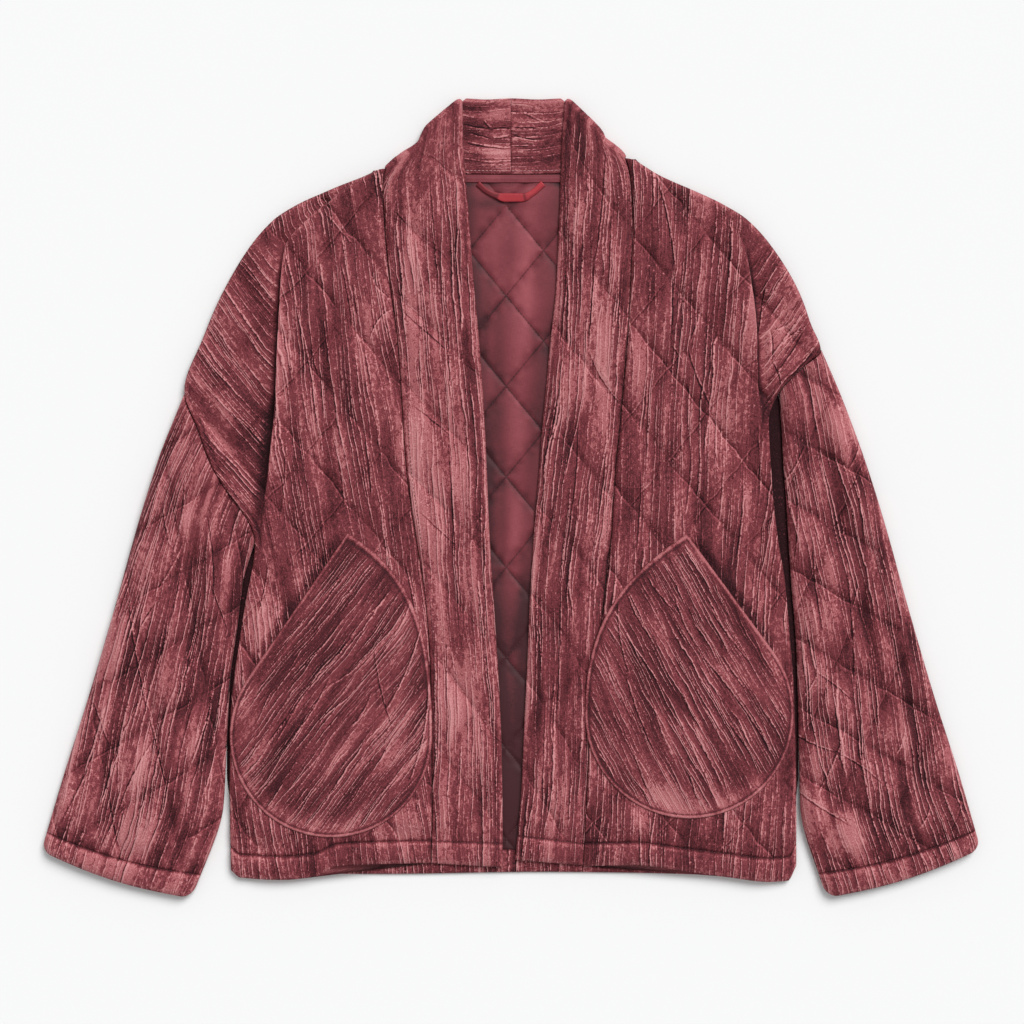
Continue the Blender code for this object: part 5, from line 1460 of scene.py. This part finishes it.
BAND_CREASES = {
    "right": [
        Crease(-0.0450, 0.3553, -0.0190, 0.3505, 0.0000, -0.50, 0.90),
        Crease(-0.0190, 0.3505, -0.0009, 0.3515, 0.0009, -0.50, 0.90),
        Crease(-0.0428, 0.3377, -0.0005, 0.3320, -0.0009, 0.90, 0.90),
        Crease(-0.0408, 0.3472, -0.0181, 0.3415, 0.0009, -0.40, 0.60),
        Crease(-0.0181, 0.3415, -0.0009, 0.3444, -0.0009, 0.60, 0.50),
        Crease(-0.0266, 0.3586, -0.0181, 0.3491, 0.0000, 0.50, 0.60),
        Crease(-0.1074, 0.1810, -0.0570, 0.1373, 0.0000, 0.10, 0.75),
        Crease(-0.1130, 0.2741, -0.0950, 0.2570, 0.0000, 0.15, 0.50),
        Crease(-0.0931, 0.0888, -0.0570, 0.0594, 0.0000, 0.12, 0.70),
        Crease(-0.0864, -0.0128, -0.0532, -0.0442, 0.0000, 0.12, 0.60),
        Crease(-0.0627, 0.2028, -0.0580, 0.0936, 0.0009, 0.30, 0.90),
        Crease(-0.0599, 0.0556, -0.0532, -0.0584, 0.0009, 0.30, 0.80),
        Crease(-0.0912, 0.2456, -0.0864, 0.1506, 0.0000, 0.45, 0.40),
        Crease(-0.1007, 0.0556, -0.0902, -0.0584, 0.0000, 0.40, 0.50),
        Crease(-0.0770, 0.3026, -0.0703, 0.2171, 0.0000, 0.35, 0.50),
        Crease(-0.0827, -0.1154, -0.0808, -0.2294, 0.0000, 0.45, 0.50),
        Crease(-0.0617, -0.1344, -0.0608, -0.2484, 0.0000, 0.40, 0.60),
    ],
    "left": [
        Crease(0.0013, 0.3458, 0.0314, 0.3415, -0.0019, -0.60, 0.95),
        Crease(0.0019, 0.3520, 0.0323, 0.3501, 0.0009, 0.20, 0.70),
        Crease(0.0086, 0.3672, 0.0323, 0.3558, 0.0000, 0.30, 0.50),
        Crease(0.0019, 0.3349, 0.0181, 0.3349, -0.0009, -0.20, 0.60),
        Crease(0.0893, 0.3273, 0.0789, 0.2237, 0.0019, 0.55, 0.95),
        Crease(0.0789, 0.2237, 0.0732, 0.1411, 0.0000, 0.70, 0.95),
        Crease(0.0741, 0.1373, 0.1026, 0.0907, -0.0029, 0.55, 0.70),
        Crease(0.0636, 0.0746, 0.0561, -0.0204, 0.0019, 0.45, 0.70),
        Crease(0.0608, 0.2836, 0.0561, 0.2247, 0.0009, 0.50, 0.50),
        Crease(0.0522, 0.2171, 0.0456, 0.1411, 0.0009, 0.50, 0.40),
        Crease(0.0950, 0.2741, 0.0921, 0.1886, 0.0000, 0.50, 0.50),
        Crease(0.0902, 0.0651, 0.0817, -0.0204, 0.0019, 0.50, 0.50),
        Crease(0.0323, 0.0556, 0.0276, -0.0394, 0.0009, 0.50, 0.50),
        Crease(0.0466, -0.0964, 0.0428, -0.2104, 0.0009, 0.50, 0.50),
        Crease(0.0751, -0.0584, 0.0693, -0.1534, 0.0009, 0.45, 0.50),
        Crease(0.0323, -0.1914, 0.0295, -0.2864, 0.0000, 0.40, 0.50),
    ],
}
BAND_PATCHES = {
    "right": [
        Patch(-0.0980, 0.2000, 0.012, 0.090, 0.30),
        Patch(-0.0840, 0.0100, 0.014, 0.110, 0.34),
        Patch(-0.0670, 0.1200, 0.012, 0.080, 0.10),
        Patch(-0.0450, -0.2200, 0.022, 0.120, 0.14),
        Patch(-0.0620, -0.2850, 0.012, 0.040, 0.14),
        Patch(-0.0300, 0.2000, 0.006, 0.100, -0.14),
        Patch(-0.0140, 0.3660, 0.012, 0.010, 0.24),
        Patch(-0.0120, 0.3265, 0.013, 0.007, 0.34),
        Patch(-0.0340, 0.3170, 0.012, 0.012, -0.20),
        Patch(-0.0380, 0.3500, 0.010, 0.024, -0.20),
    ],
    "left": [
        Patch(0.0836, 0.1750, 0.006, 0.045, 0.34),
        Patch(0.0722, 0.0980, 0.006, 0.040, 0.34),
        Patch(0.0560, 0.2900, 0.008, 0.050, 0.24),
        Patch(0.0890, 0.2830, 0.008, 0.040, 0.16),
        Patch(0.0465, 0.1350, 0.006, 0.060, 0.20),
        Patch(0.1030, 0.1400, 0.006, 0.030, 0.18),
        Patch(0.0400, -0.3200, 0.020, 0.020, 0.18),
        Patch(0.0550, 0.0000, 0.012, 0.080, -0.08),
        Patch(0.0280, 0.3450, 0.022, 0.030, -0.12),
        Patch(0.0400, 0.3350, 0.010, 0.030, -0.16),
    ],
}
for side, sign in SIDES:
    rows = BAND_ROWS[side]
    run = middle_run(rows, "free", "seam")
    length = run[-1]
    steps = np.r_[0, 0.0005, 0.0014, 0.0027, 0.0045, 0.0065,
                  HEM_DEPTH + np.array([-0.0009, -0.0004, 0.0, 0.0004, 0.0009]),
                  np.linspace(0.0083, length, round(length / 0.0019))]
    steps = np.sort(steps)
    t = columns(BAND_WIDTH, VELVET_STEP)
    free = line_at(rows, "free", run, steps)
    seam = line_at(rows, "seam", run, steps)
    top_line = seam[-1] - free[-1]
    top_line = top_line / np.linalg.norm(top_line)
    outward = np.array([sign * abs(top_line[1]), abs(top_line[0])])
    flat = free[:, None] + (seam - free)[:, None] * t[None, :, None]
    crease = along(FOLD_ROWS, "share", side, t)
    sink = ease(steps, length - 0.030, length)[:, None] * crease
    flat = flat - outward * sink[..., None]
    base = np.concatenate([flat, np.full((*flat.shape[:2], 1), FRONT_LEVEL + 0.0002)], -1)
    normal = np.zeros_like(base)
    normal[..., 2] = 1
    radius = (FRONT_LEVEL - COLLAR_LEVEL) / 2
    turn = np.radians(np.arange(15, 181, 15))[:, None]
    fold_line = flat[-1]
    turned = np.zeros((len(turn), len(t), 3))
    bulge = (radius + 0.0008) * (1 - 0.9 * ease(t, 0.86, 1.0))
    turned[..., :2] = fold_line[None] + outward * (bulge * np.sin(turn))[..., None]
    turned[..., 2] = (FRONT_LEVEL + COLLAR_LEVEL) / 2 + radius * np.cos(turn)
    turned_normal = np.zeros_like(turned)
    turned_normal[..., :2] = outward * np.sin(turn)[..., None]
    turned_normal[..., 2] = np.cos(turn)
    part = np.linspace(0, 1, 56)[1:, None]
    end_seam = np.array([sign * CENTRE_GAP, COLLAR_SEAM])
    end_free = np.array([sign * CENTRE_GAP, COLLAR_TOP])
    collar_free = fold_line[0] + (end_free - fold_line[0]) * part
    collar_free[:, 1] += (COLLAR_TOP - collar_free[:, 1]) * ease(part[:, 0], 0, 0.08)
    collar_free[:, 1] -= COLLAR_WAVE * np.sin(np.pi * part[:, 0]) ** 2
    collar_seam = fold_line[-1] + (end_seam - fold_line[-1]) * part
    neck_y = along(BACK_NECK, "x", "y", collar_seam[:, 0]) + 0.0006
    collar_seam[:, 1] = neck_y + (fold_line[-1, 1] - neck_y) * (1 - part[:, 0]) ** 4
    collar = np.zeros((len(part), len(t), 3))
    collar[..., :2] = collar_free[:, None] + (collar_seam - collar_free)[:, None] * t[None, :, None]
    sink = (1 - ease(part, 0, 0.4)) * crease
    collar[..., :2] -= outward * sink[..., None]
    collar[..., 2] = COLLAR_LEVEL
    collar_normal = np.zeros_like(collar)
    collar_normal[..., 2] = -1
    base = np.concatenate([base, turned, collar])
    normal = np.concatenate([normal, turned_normal, collar_normal])
    s = np.r_[steps, length + TURN_STEP * np.arange(1, len(turn) + 1),
              length + TURN_STEP * len(turn) + COLLAR_RUN * part[:, 0]][:, None] + 0 * t
    t = t[None] + 0 * s
    width = np.linalg.norm(base[:, -1, :2] - base[:, 0, :2], axis=1)[:, None]
    from_free = t * width
    from_seam = (1 - t) * width

    # Quilting, slack folds and rolled edges.
    u = t + s / DIAMOND_HEIGHT
    v = t - s / DIAMOND_HEIGHT + BAND_PHASE
    loft, off, cell, lines = quilted(u, v)
    neck = ease(s, length - 0.060, length - 0.010)
    lines[..., 2] = 0.45 * ((s > HEM_DEPTH) & (s < length - 0.012))
    lines[..., 0 if sign < 0 else 1] = 0.5
    loft, off, _ = turned_hem(loft * (1 - neck), off, s, HEM_DEPTH)
    loft = loft + 0.30 * neck
    off = np.where(s > length - 0.012, 0.02, off)
    quilt = Quilt(loft, off, cell, lines)
    lift, look = velvet_relief(s, sign * from_free, quilt, BAND_SEED[side], 17 + sign, vivid=1.0)
    crown = np.sqrt(np.sin(np.pi * np.clip(t, 0.001, 0.999)))
    wall = STITCH_WALL + (PUFF_WALL - STITCH_WALL) * loft * crown
    drift = 0.6 * noise(s / 0.08, from_free / 0.04, BAND_DRIFT_SEED)
    slack = noise(s / 0.100, from_free / 0.008 + drift, BAND_SLACK_SEED + sign)
    wall = wall + lift + BAND_SLACK * slack
    wall = wall + crease_rise(base[..., 0], base[..., 1], BAND_CREASES[side])
    wall = np.where(s > length, STITCH_WALL + 0.5 * lift, wall)
    side_roll = edge_share(from_free, 0.006, 0.30) * edge_share(from_seam, SEAM_ROLL, 0.45)
    end_roll = edge_share(s, HEM_ROLL, 0.30) * edge_share(s.max() - s, 0.003, 0.72)
    wall = np.maximum(wall, LEAST_WALL) * side_roll * end_roll
    inner_lift = np.where(s > length + 0.004, 0.0010 + lift, 0.0)
    inner_lift = inner_lift * ease(s, length + 0.004, length + 0.030) * side_roll * end_roll
    outside = base + normal * wall[..., None]
    inside = base - normal * np.maximum(inner_lift, 0)[..., None]
    inset = np.minimum(0.0009 / width, 0.02)
    inside[..., :2] += (base[:, -1:, :2] - base[:, :1, :2]) * ((0.5 - t) * 2 * inset)[..., None]
    rings = np.concatenate([outside, inside[:, ::-1]], axis=1)

    # Tone, paler on the collar, with a painted highlight on the rolled free edge and the hem's edge, a
    # darker band just inside the free edge, and painted light and shade on the slack folds and at the
    # stitched row.
    nap = look.nap + patched(base[..., 0], base[..., 1], BAND_PATCHES[side]) + 0.22 * slack
    nap = nap + np.where(s > length, COLLAR_NAP, BAND_NAP[side])
    nap = nap + 0.28 * bell(from_free - 0.002, 0.002)
    nap = nap - 0.12 * bell(from_free - 0.010, 0.006)
    nap = nap + 0.20 * bell(s - 0.002, 0.0025)
    row, ridge = topstitch(s, HEM_DEPTH)
    nap = nap - ROW_SHADE * row + RIDGE_HIGHLIGHT * ridge
    clear = (1 - row) * ease(np.abs(s - length - 0.006), 0.008, 0.024) * np.where(s > length, 0.45, 1.0)
    look = look._replace(nap=nap, crisp=look.crisp * clear[..., None])
    look = Look(*(np.hstack([field, field[:, ::-1]]) for field in look))
    band = close_rings("coat_band_" + side, rings, rings.shape[1], look, VELVET, capped=t.shape[1],
                       creases=BAND_CREASES[side])
    dress(band, "band_" + side)
    hem_row = outside[np.argmin(np.abs(steps - HEM_DEPTH)), 5:-4]
    seam_row = outside[(s[:, 0] > 0.004) & (s[:, 0] < length - 0.012), -5]
    sewn("coat_band_stitches_" + side, [hem_row, seam_row], DARK_THREAD)
    collar_row = inside[s[:, 0] > length + 0.040, -4] + [0.0, 0.0, 0.0003]
    sewn("coat_collar_stitches_" + side, [collar_row], PALE_THREAD)

# Pockets
# Large teardrop patches of the same velvet, topstitched round the bag and the inner side.
# The straight outer side is the hand opening, which stands a little off the front.
POCKET_LEAN = {"right": -0.66, "left": 0.50}
POCKET_PATCHES = {
    "right": [
        Patch(-0.1055, -0.1344, 0.010, 0.045, 0.20),
        Patch(-0.1150, -0.2294, 0.018, 0.035, 0.16),
        Patch(-0.248, -0.210, 0.016, 0.050, 0.26),
        Patch(-0.108, -0.215, 0.018, 0.050, 0.20),
        Patch(-0.165, -0.150, 0.030, 0.060, -0.08),
        Patch(-0.165, -0.245, 0.030, 0.020, 0.14),
    ],
    "left": [
        Patch(0.1606, -0.2817, 0.045, 0.012, 0.20),
        Patch(0.0893, -0.1819, 0.012, 0.040, 0.14),
        Patch(0.137, -0.287, 0.030, 0.018, 0.24),
        Patch(0.185, -0.150, 0.020, 0.050, 0.10),
        Patch(0.250, -0.180, 0.010, 0.040, 0.14),
    ],
}
POCKET_CREASES = {
    "right": [
        Crease(-0.0959, -0.0983, -0.1216, -0.1420, 0.0029, 0.85, 0.50),
        Crease(-0.0855, -0.1183, -0.1187, -0.1990, 0.0038, 0.95, 0.60),
        Crease(-0.0789, -0.1743, -0.0969, -0.2674, 0.0047, 1.00, 0.60),
        Crease(-0.1472, -0.1240, -0.1881, -0.1686, 0.0029, 0.55, 0.60),
        Crease(-0.1301, -0.1392, -0.1121, -0.2171, -0.0029, 0.35, 0.70),
        Crease(-0.1719, -0.1686, -0.2119, -0.2313, 0.0029, 0.55, 0.50),
        Crease(-0.2004, -0.1914, -0.2366, -0.2389, 0.0000, 0.60, 0.50),
        Crease(-0.1321, -0.1819, -0.1510, -0.2152, 0.0019, 0.60, 0.50),
        Crease(-0.1530, -0.2598, -0.1378, -0.2389, 0.0000, -0.50, 0.50),
        Crease(-0.2233, -0.2313, -0.1948, -0.1819, 0.0000, -0.40, 0.50),
        Crease(-0.1149, -0.0869, -0.1301, -0.1059, 0.0000, 0.60, 0.40),
    ],
    "left": [
        Crease(0.1092, -0.0898, 0.1330, -0.1344, -0.0019, 0.70, 0.60),
        Crease(0.1292, -0.0746, 0.1558, -0.1078, -0.0019, 0.60, 0.60),
        Crease(0.1064, -0.1591, 0.1387, -0.2465, -0.0029, 0.60, 0.60),
        Crease(0.1539, -0.0917, 0.1795, -0.1458, -0.0029, 0.70, 0.70),
        Crease(0.1719, -0.1401, 0.2460, -0.2408, 0.0038, 0.75, 0.80),
        Crease(0.1701, -0.2085, 0.1928, -0.2551, -0.0019, 0.70, 0.60),
        Crease(0.1653, -0.2541, 0.1786, -0.2921, 0.0000, 0.70, 0.50),
        Crease(0.1852, -0.0993, 0.2271, -0.1572, -0.0019, 0.65, 0.60),
        Crease(0.1159, -0.2408, 0.1368, -0.2893, -0.0019, 0.75, 0.60),
        Crease(0.1007, -0.0964, 0.1130, -0.1705, -0.0038, 0.55, 0.60),
        Crease(0.1340, -0.1952, 0.1530, -0.2446, -0.0019, 0.60, 0.50),
        Crease(0.1986, -0.1487, 0.2213, -0.1819, 0.0000, 0.70, 0.50),
        Crease(0.2042, -0.2104, 0.2366, -0.2560, 0.0000, 0.60, 0.50),
        Crease(0.0846, -0.1344, 0.1149, -0.2104, -0.0029, 0.50, 0.50),
    ],
}
POCKET_SEED = {"right": 401, "left": 431}
POCKET_WALL = 0.0018
POCKET_PUFF = 0.0034
POCKET_GAP = 0.0003
POCKET_BACK_NAP = 0.3
STITCH_IN = 0.0034
MOUTH_STAND = 0.0022
MOUTH_REACH = 0.014


def pocket_bed(x, y, side):
    """Height of the front under a pocket, with the folds that lift it."""
    outer = along(OUTER_EDGE[side], "y", "x", y)
    bed = front_inside(x, y, outer, 0.0, side) + POCKET_BED + POCKET_GAP
    return bed + np.maximum(folded(x, y, FRONT_FOLDS[side]), 0)


for side, sign in SIDES:
    centre, outline, mouth = pocket_outline(side, sign)
    radius = POCKETS[side].radius
    ring = np.vstack([outline, outline[:1]])
    run = np.r_[0, np.cumsum(np.hypot(*np.diff(ring, axis=0).T))]
    at = np.linspace(0, run[-1], 331)[:-1]
    rim = np.stack([np.interp(at, run, ring[:, k]) for k in (0, 1)], 1)
    opening = ease(at, 0.004, 0.020) * ease(-at, -run[mouth] - 0.010, -run[mouth] + 0.020)
    inward = np.r_[0, 0.0005, 0.0012, 0.0020, 0.0027, STITCH_IN, 0.0041, 0.0050, 0.0062,
                   np.linspace(0.0078, radius - 0.0012, 48)][:, None]
    flat = centre + (rim - centre)[None] * (1 - inward / radius)[..., None]
    x = flat[..., 0]
    y = flat[..., 1]
    edge = inward + 0 * x
    off = np.abs(edge - STITCH_IN) + 0.004 * opening
    grain_run, grain_across = leaning(x, y, POCKET_LEAN[side])
    quilt = Quilt(0 * x, off, 0 * x + 0.5, unquilted(x.shape))
    lift, look = velvet_relief(1.5 * grain_run, 1.25 * grain_across, quilt, POCKET_SEED[side],
                               21 + sign, puff_shading=0.0)
    row = bell(edge - STITCH_IN, 0.0008) * (1 - opening)
    inner = ease(edge, 0.003, 0.014)
    wall = POCKET_WALL + POCKET_PUFF * ease(edge, 0.004, 0.040) + 1.2 * lift * inner - 0.0007 * row
    wall = wall + crease_rise(x, y, POCKET_CREASES[side]) * inner
    wall = np.maximum(wall, 0.0008) * edge_share(edge, 0.0028, 0.30)
    stand = MOUTH_STAND * opening * bell(edge, MOUTH_REACH)
    upper = np.stack([x, y, pocket_bed(x, y, side) + wall + stand], -1)
    lower_in = np.array([0.0003, 0.0030, 0.0200, 0.0600])[:, None]
    lower = centre + (rim - centre)[None] * (1 - lower_in / radius)[..., None]
    lower_z = pocket_bed(lower[..., 0], lower[..., 1], side)
    lower_z = lower_z + MOUTH_STAND * opening * bell(lower_in, MOUTH_REACH)
    lower = np.concatenate([lower, lower_z[..., None]], -1)

    # Tone, with a painted highlight on the rim and along the lower part of the bag's edge, and painted
    # shade in the sunk row of stitches.
    nap = look.nap + patched(x, y, POCKET_PATCHES[side]) - 0.13
    nap = nap + 0.44 * bell(edge - 0.0014, 0.0012) - 0.26 * row
    low = ease(centre[1] - y, 0.030, 0.075) * ease(sign * (x - centre[0]), -0.070, 0.020 * sign)
    nap = nap + 0.34 * low * bell(edge - 0.008, 0.010)
    crisp = np.minimum(1.0, 1.1 * look.crisp + 0.06) * ease(edge, 0.003, 0.010)[..., None]
    look = Look(*(field[::-1] for field in look._replace(nap=nap, crisp=crisp)))
    look = with_plain(look, len(lower), POCKET_BACK_NAP, 0)
    loops = np.concatenate([upper[::-1], lower])
    index = np.arange(loops.shape[0] * loops.shape[1]).reshape(loops.shape[:2])
    faces = quads_between(index[:-1], index[1:])
    faces.append(index[0, ::-1].tolist())
    faces.append(index[-1].tolist())
    pocket = clothe("coat_pocket_" + side, loops.reshape(-1, 3), faces, look, VELVET,
                    creases=POCKET_CREASES[side])
    dress(pocket, "pocket_" + side)
    edge_row = upper[5, opening < 0.5]
    longest = int(np.argmax(np.linalg.norm(np.diff(edge_row[:, :2], axis=0), axis=1)))
    edge_row = np.roll(edge_row, -longest - 1, axis=0)
    sewn("coat_pocket_stitches_" + side, [edge_row], DARK_THREAD)

# Neck tape and hanger loop
# A narrow cotton tape covers the back neck seam.
# A loop of satin ribbon is caught under it and hangs down flat on the lining.
TAPE_WIDTH = 0.0075
TAPE_HALF_LENGTH = 0.062
TAPE_LEVEL = 0.0062
TAPE_WALL = 0.0010
TAPE_SEED = 81
LoopRow = namedtuple("LoopRow", "x y wide")
LOOP_ROWS = [
    LoopRow(-0.0316, 0.2990, 0.0052), LoopRow(-0.0225, 0.2915, 0.0050), LoopRow(-0.0135, 0.2876, 0.0058),
    LoopRow(-0.0050, 0.2856, 0.0082), LoopRow(0.0110, 0.2856, 0.0078), LoopRow(0.0205, 0.2900, 0.0058),
    LoopRow(0.0306, 0.2990, 0.0062),
]
LOOP_LEVEL = 0.0074
LOOP_WALL = 0.0007
LOOP_TWIST = 0.0006
LOOP_LENGTH = 0.085
RIBBON_COLOURS = [
    (0.0, (0.100, 0.010, 0.016)), (0.5, (0.420, 0.036, 0.048)), (1.0, (0.640, 0.120, 0.130)),
]
RIBBON_FINISH = {"Roughness": 0.45, "Specular IOR Level": 0.25, "Anisotropic": 0.4}
RIBBON_BUMP = (0.15, 0.0002)


def ribbon_satin():
    """Satin ribbon with a fine rib across and a bright sheen."""
    material, tree, shader = new_material("ribbon_satin")
    grain = attribute(tree, "grain").outputs["Vector"]
    rib = grain_noise(tree, grain, (3000, 60, 1), 1.0, 0.0)
    pale = swayed(tree, attribute(tree, "nap").outputs["Fac"], rib, 0.4)
    surface(tree, shader, ramp(tree, pale, RIBBON_COLOURS), rib, RIBBON_BUMP, RIBBON_FINISH)
    return material


RIBBON = ribbon_satin()
x = np.linspace(-TAPE_HALF_LENGTH, TAPE_HALF_LENGTH, 120)[:, None]
part = np.array([0, 0.04, 0.10, 0.20, 0.35, 0.5, 0.65, 0.80, 0.90, 0.96, 1.0])[None]
y = along(BACK_NECK, "x", "y", x) + 0.0003 - TAPE_WIDTH * part
x = x + 0 * y
edge = np.minimum(part, 1 - part) * TAPE_WIDTH
z = TAPE_LEVEL + TAPE_WALL * roll(edge, 0.0012) + 0.00015 * noise(x / 0.006, y / 0.004, TAPE_SEED)
z = z - 0.0004 * bell(edge - 0.0014, 0.0005)
upper = np.stack([x, y, z], -1)
rings = np.concatenate([upper, underside(upper, TAPE_LEVEL - 0.0002, 0.0006)], axis=1)
nap = 0.50 + 0.10 * noise(x / 0.02, y / 0.01, TAPE_SEED + 1) + 0 * z
bare = np.zeros((*x.shape, 3))
look = Look(nap, bare, bare, np.stack([x, y, 0 * x], -1), unquilted(x.shape))
tape = close_rings("coat_neck_tape", rings, x.shape[1], look, LINING)
dress(tape, "neck_binding")

knots = np.linspace(0, 1, len(LOOP_ROWS))
part = np.linspace(0, 1, 90)
path = np.stack([smooth(knots, column(LOOP_ROWS, name), part) for name in ("x", "y")], 1)
soft = np.hanning(7)
padded = np.vstack([2 * path[:1] - path[3:0:-1], path, 2 * path[-1:] - path[-2:-5:-1]])
path = np.stack([np.convolve(padded[:, k], soft / soft.sum(), "valid") for k in (0, 1)], 1)
heading = np.gradient(path, axis=0)
heading = heading / np.linalg.norm(heading, axis=1)[:, None]
normal = np.stack([-heading[:, 1], heading[:, 0]], 1)
wide = smooth(knots, column(LOOP_ROWS, "wide"), part)[:, None]
across = np.array([-0.5, -0.46, -0.38, -0.2, 0.0, 0.2, 0.38, 0.46, 0.5])[None] * wide
flat = path[:, None] + normal[:, None] * across[..., None]
z = LOOP_LEVEL + LOOP_WALL * roll(wide / 2 - np.abs(across), 0.0009) + 0 * flat[..., 0]
z = z + LOOP_TWIST * (across / wide) * np.cos(3 * np.pi * part)[:, None]
upper = np.concatenate([flat, z[..., None]], -1)
rings = np.concatenate([upper, underside(upper, LOOP_LEVEL - 0.0004, 0.0006)], axis=1)
# Painted light and shade of the folded ribbon: the left arm in painted shade and paler on one side, the
# middle and right arm painted lit, with painted shade at the fold and along one side of the right arm.
nap = 0.06 + 0.40 * ease(part, 0.34, 0.40) + 0.06 * ease(part, 0.74, 0.80)
nap = nap - 0.34 * bell(part - 0.70, 0.022)
nap = nap[:, None] + 0.16 * (1 - ease(part, 0.30, 0.40))[:, None] * (across > 0)
nap = nap - 0.24 * ease(part, 0.70, 0.78)[:, None] * ease(-across, 0.0, 0.002)
bare = np.zeros((*z.shape, 3))
grain = np.stack([part[:, None] * LOOP_LENGTH + 0 * z, across + 0 * z, 0 * z], -1)
look = Look(nap + 0 * z, bare, bare, grain, unquilted(z.shape))
loop = close_rings("coat_hanger_loop", rings, z.shape[1], look, RIBBON)
dress(loop, "hanger_loop")

# Stage
# A plain pale floor of matt paper, a large soft light from the upper right and an even fill.
# The camera looks straight down, as the photo does.
FLOOR_HALF = 40.0
FLOOR_FINISH = {
    "Base Color": (0.93, 0.935, 0.935, 1.0), "Roughness": 0.95, "Specular IOR Level": 0.1,
}
FILL_COLOUR = (1.0, 1.0, 1.0, 1.0)
FILL_STRENGTH = 0.46
SUN_FROM = (0.50, 0.80, 1.05)
SUN_ANGLE = 0.60
SUN_STRENGTH = 2.35
CAMERA_PLACE = (0.001, -0.0128, 2.707)
CAMERA_LENS = 100.0
CAMERA_SENSOR = 36.0

floor_mesh = bpy.data.meshes.new("floor")
floor_corners = [(FLOOR_HALF * i, FLOOR_HALF * j, 0) for i, j in ((-1, -1), (1, -1), (1, 1), (-1, 1))]
floor_mesh.from_pydata(floor_corners, [], [(0, 1, 2, 3)])
floor = bpy.data.objects.new("floor", floor_mesh)
bpy.context.scene.collection.objects.link(floor)
floor_paper, _, paper = new_material("floor_paper")
for socket, value in FLOOR_FINISH.items():
    paper.inputs[socket].default_value = value
floor_mesh.materials.append(floor_paper)

scene = bpy.context.scene
scene.view_settings.view_transform = "Standard"
world = bpy.data.worlds.new("studio")
world.use_nodes = True
fill = world.node_tree.nodes["Background"]
fill.inputs["Color"].default_value = FILL_COLOUR
fill.inputs["Strength"].default_value = FILL_STRENGTH
scene.world = world
sun_data = bpy.data.lights.new("key", "SUN")
sun_data.angle = SUN_ANGLE
sun_data.energy = SUN_STRENGTH
sun = bpy.data.objects.new("key", sun_data)
sun.rotation_euler = Vector(SUN_FROM).to_track_quat("Z", "Y").to_euler()
scene.collection.objects.link(sun)

camera_data = bpy.data.cameras.new("camera")
camera_data.lens = CAMERA_LENS
camera_data.sensor_width = CAMERA_SENSOR
camera = bpy.data.objects.new("camera", camera_data)
camera.location = CAMERA_PLACE
camera.rotation_euler = (0.0, 0.0, 0.0)
scene.collection.objects.link(camera)
scene.camera = camera
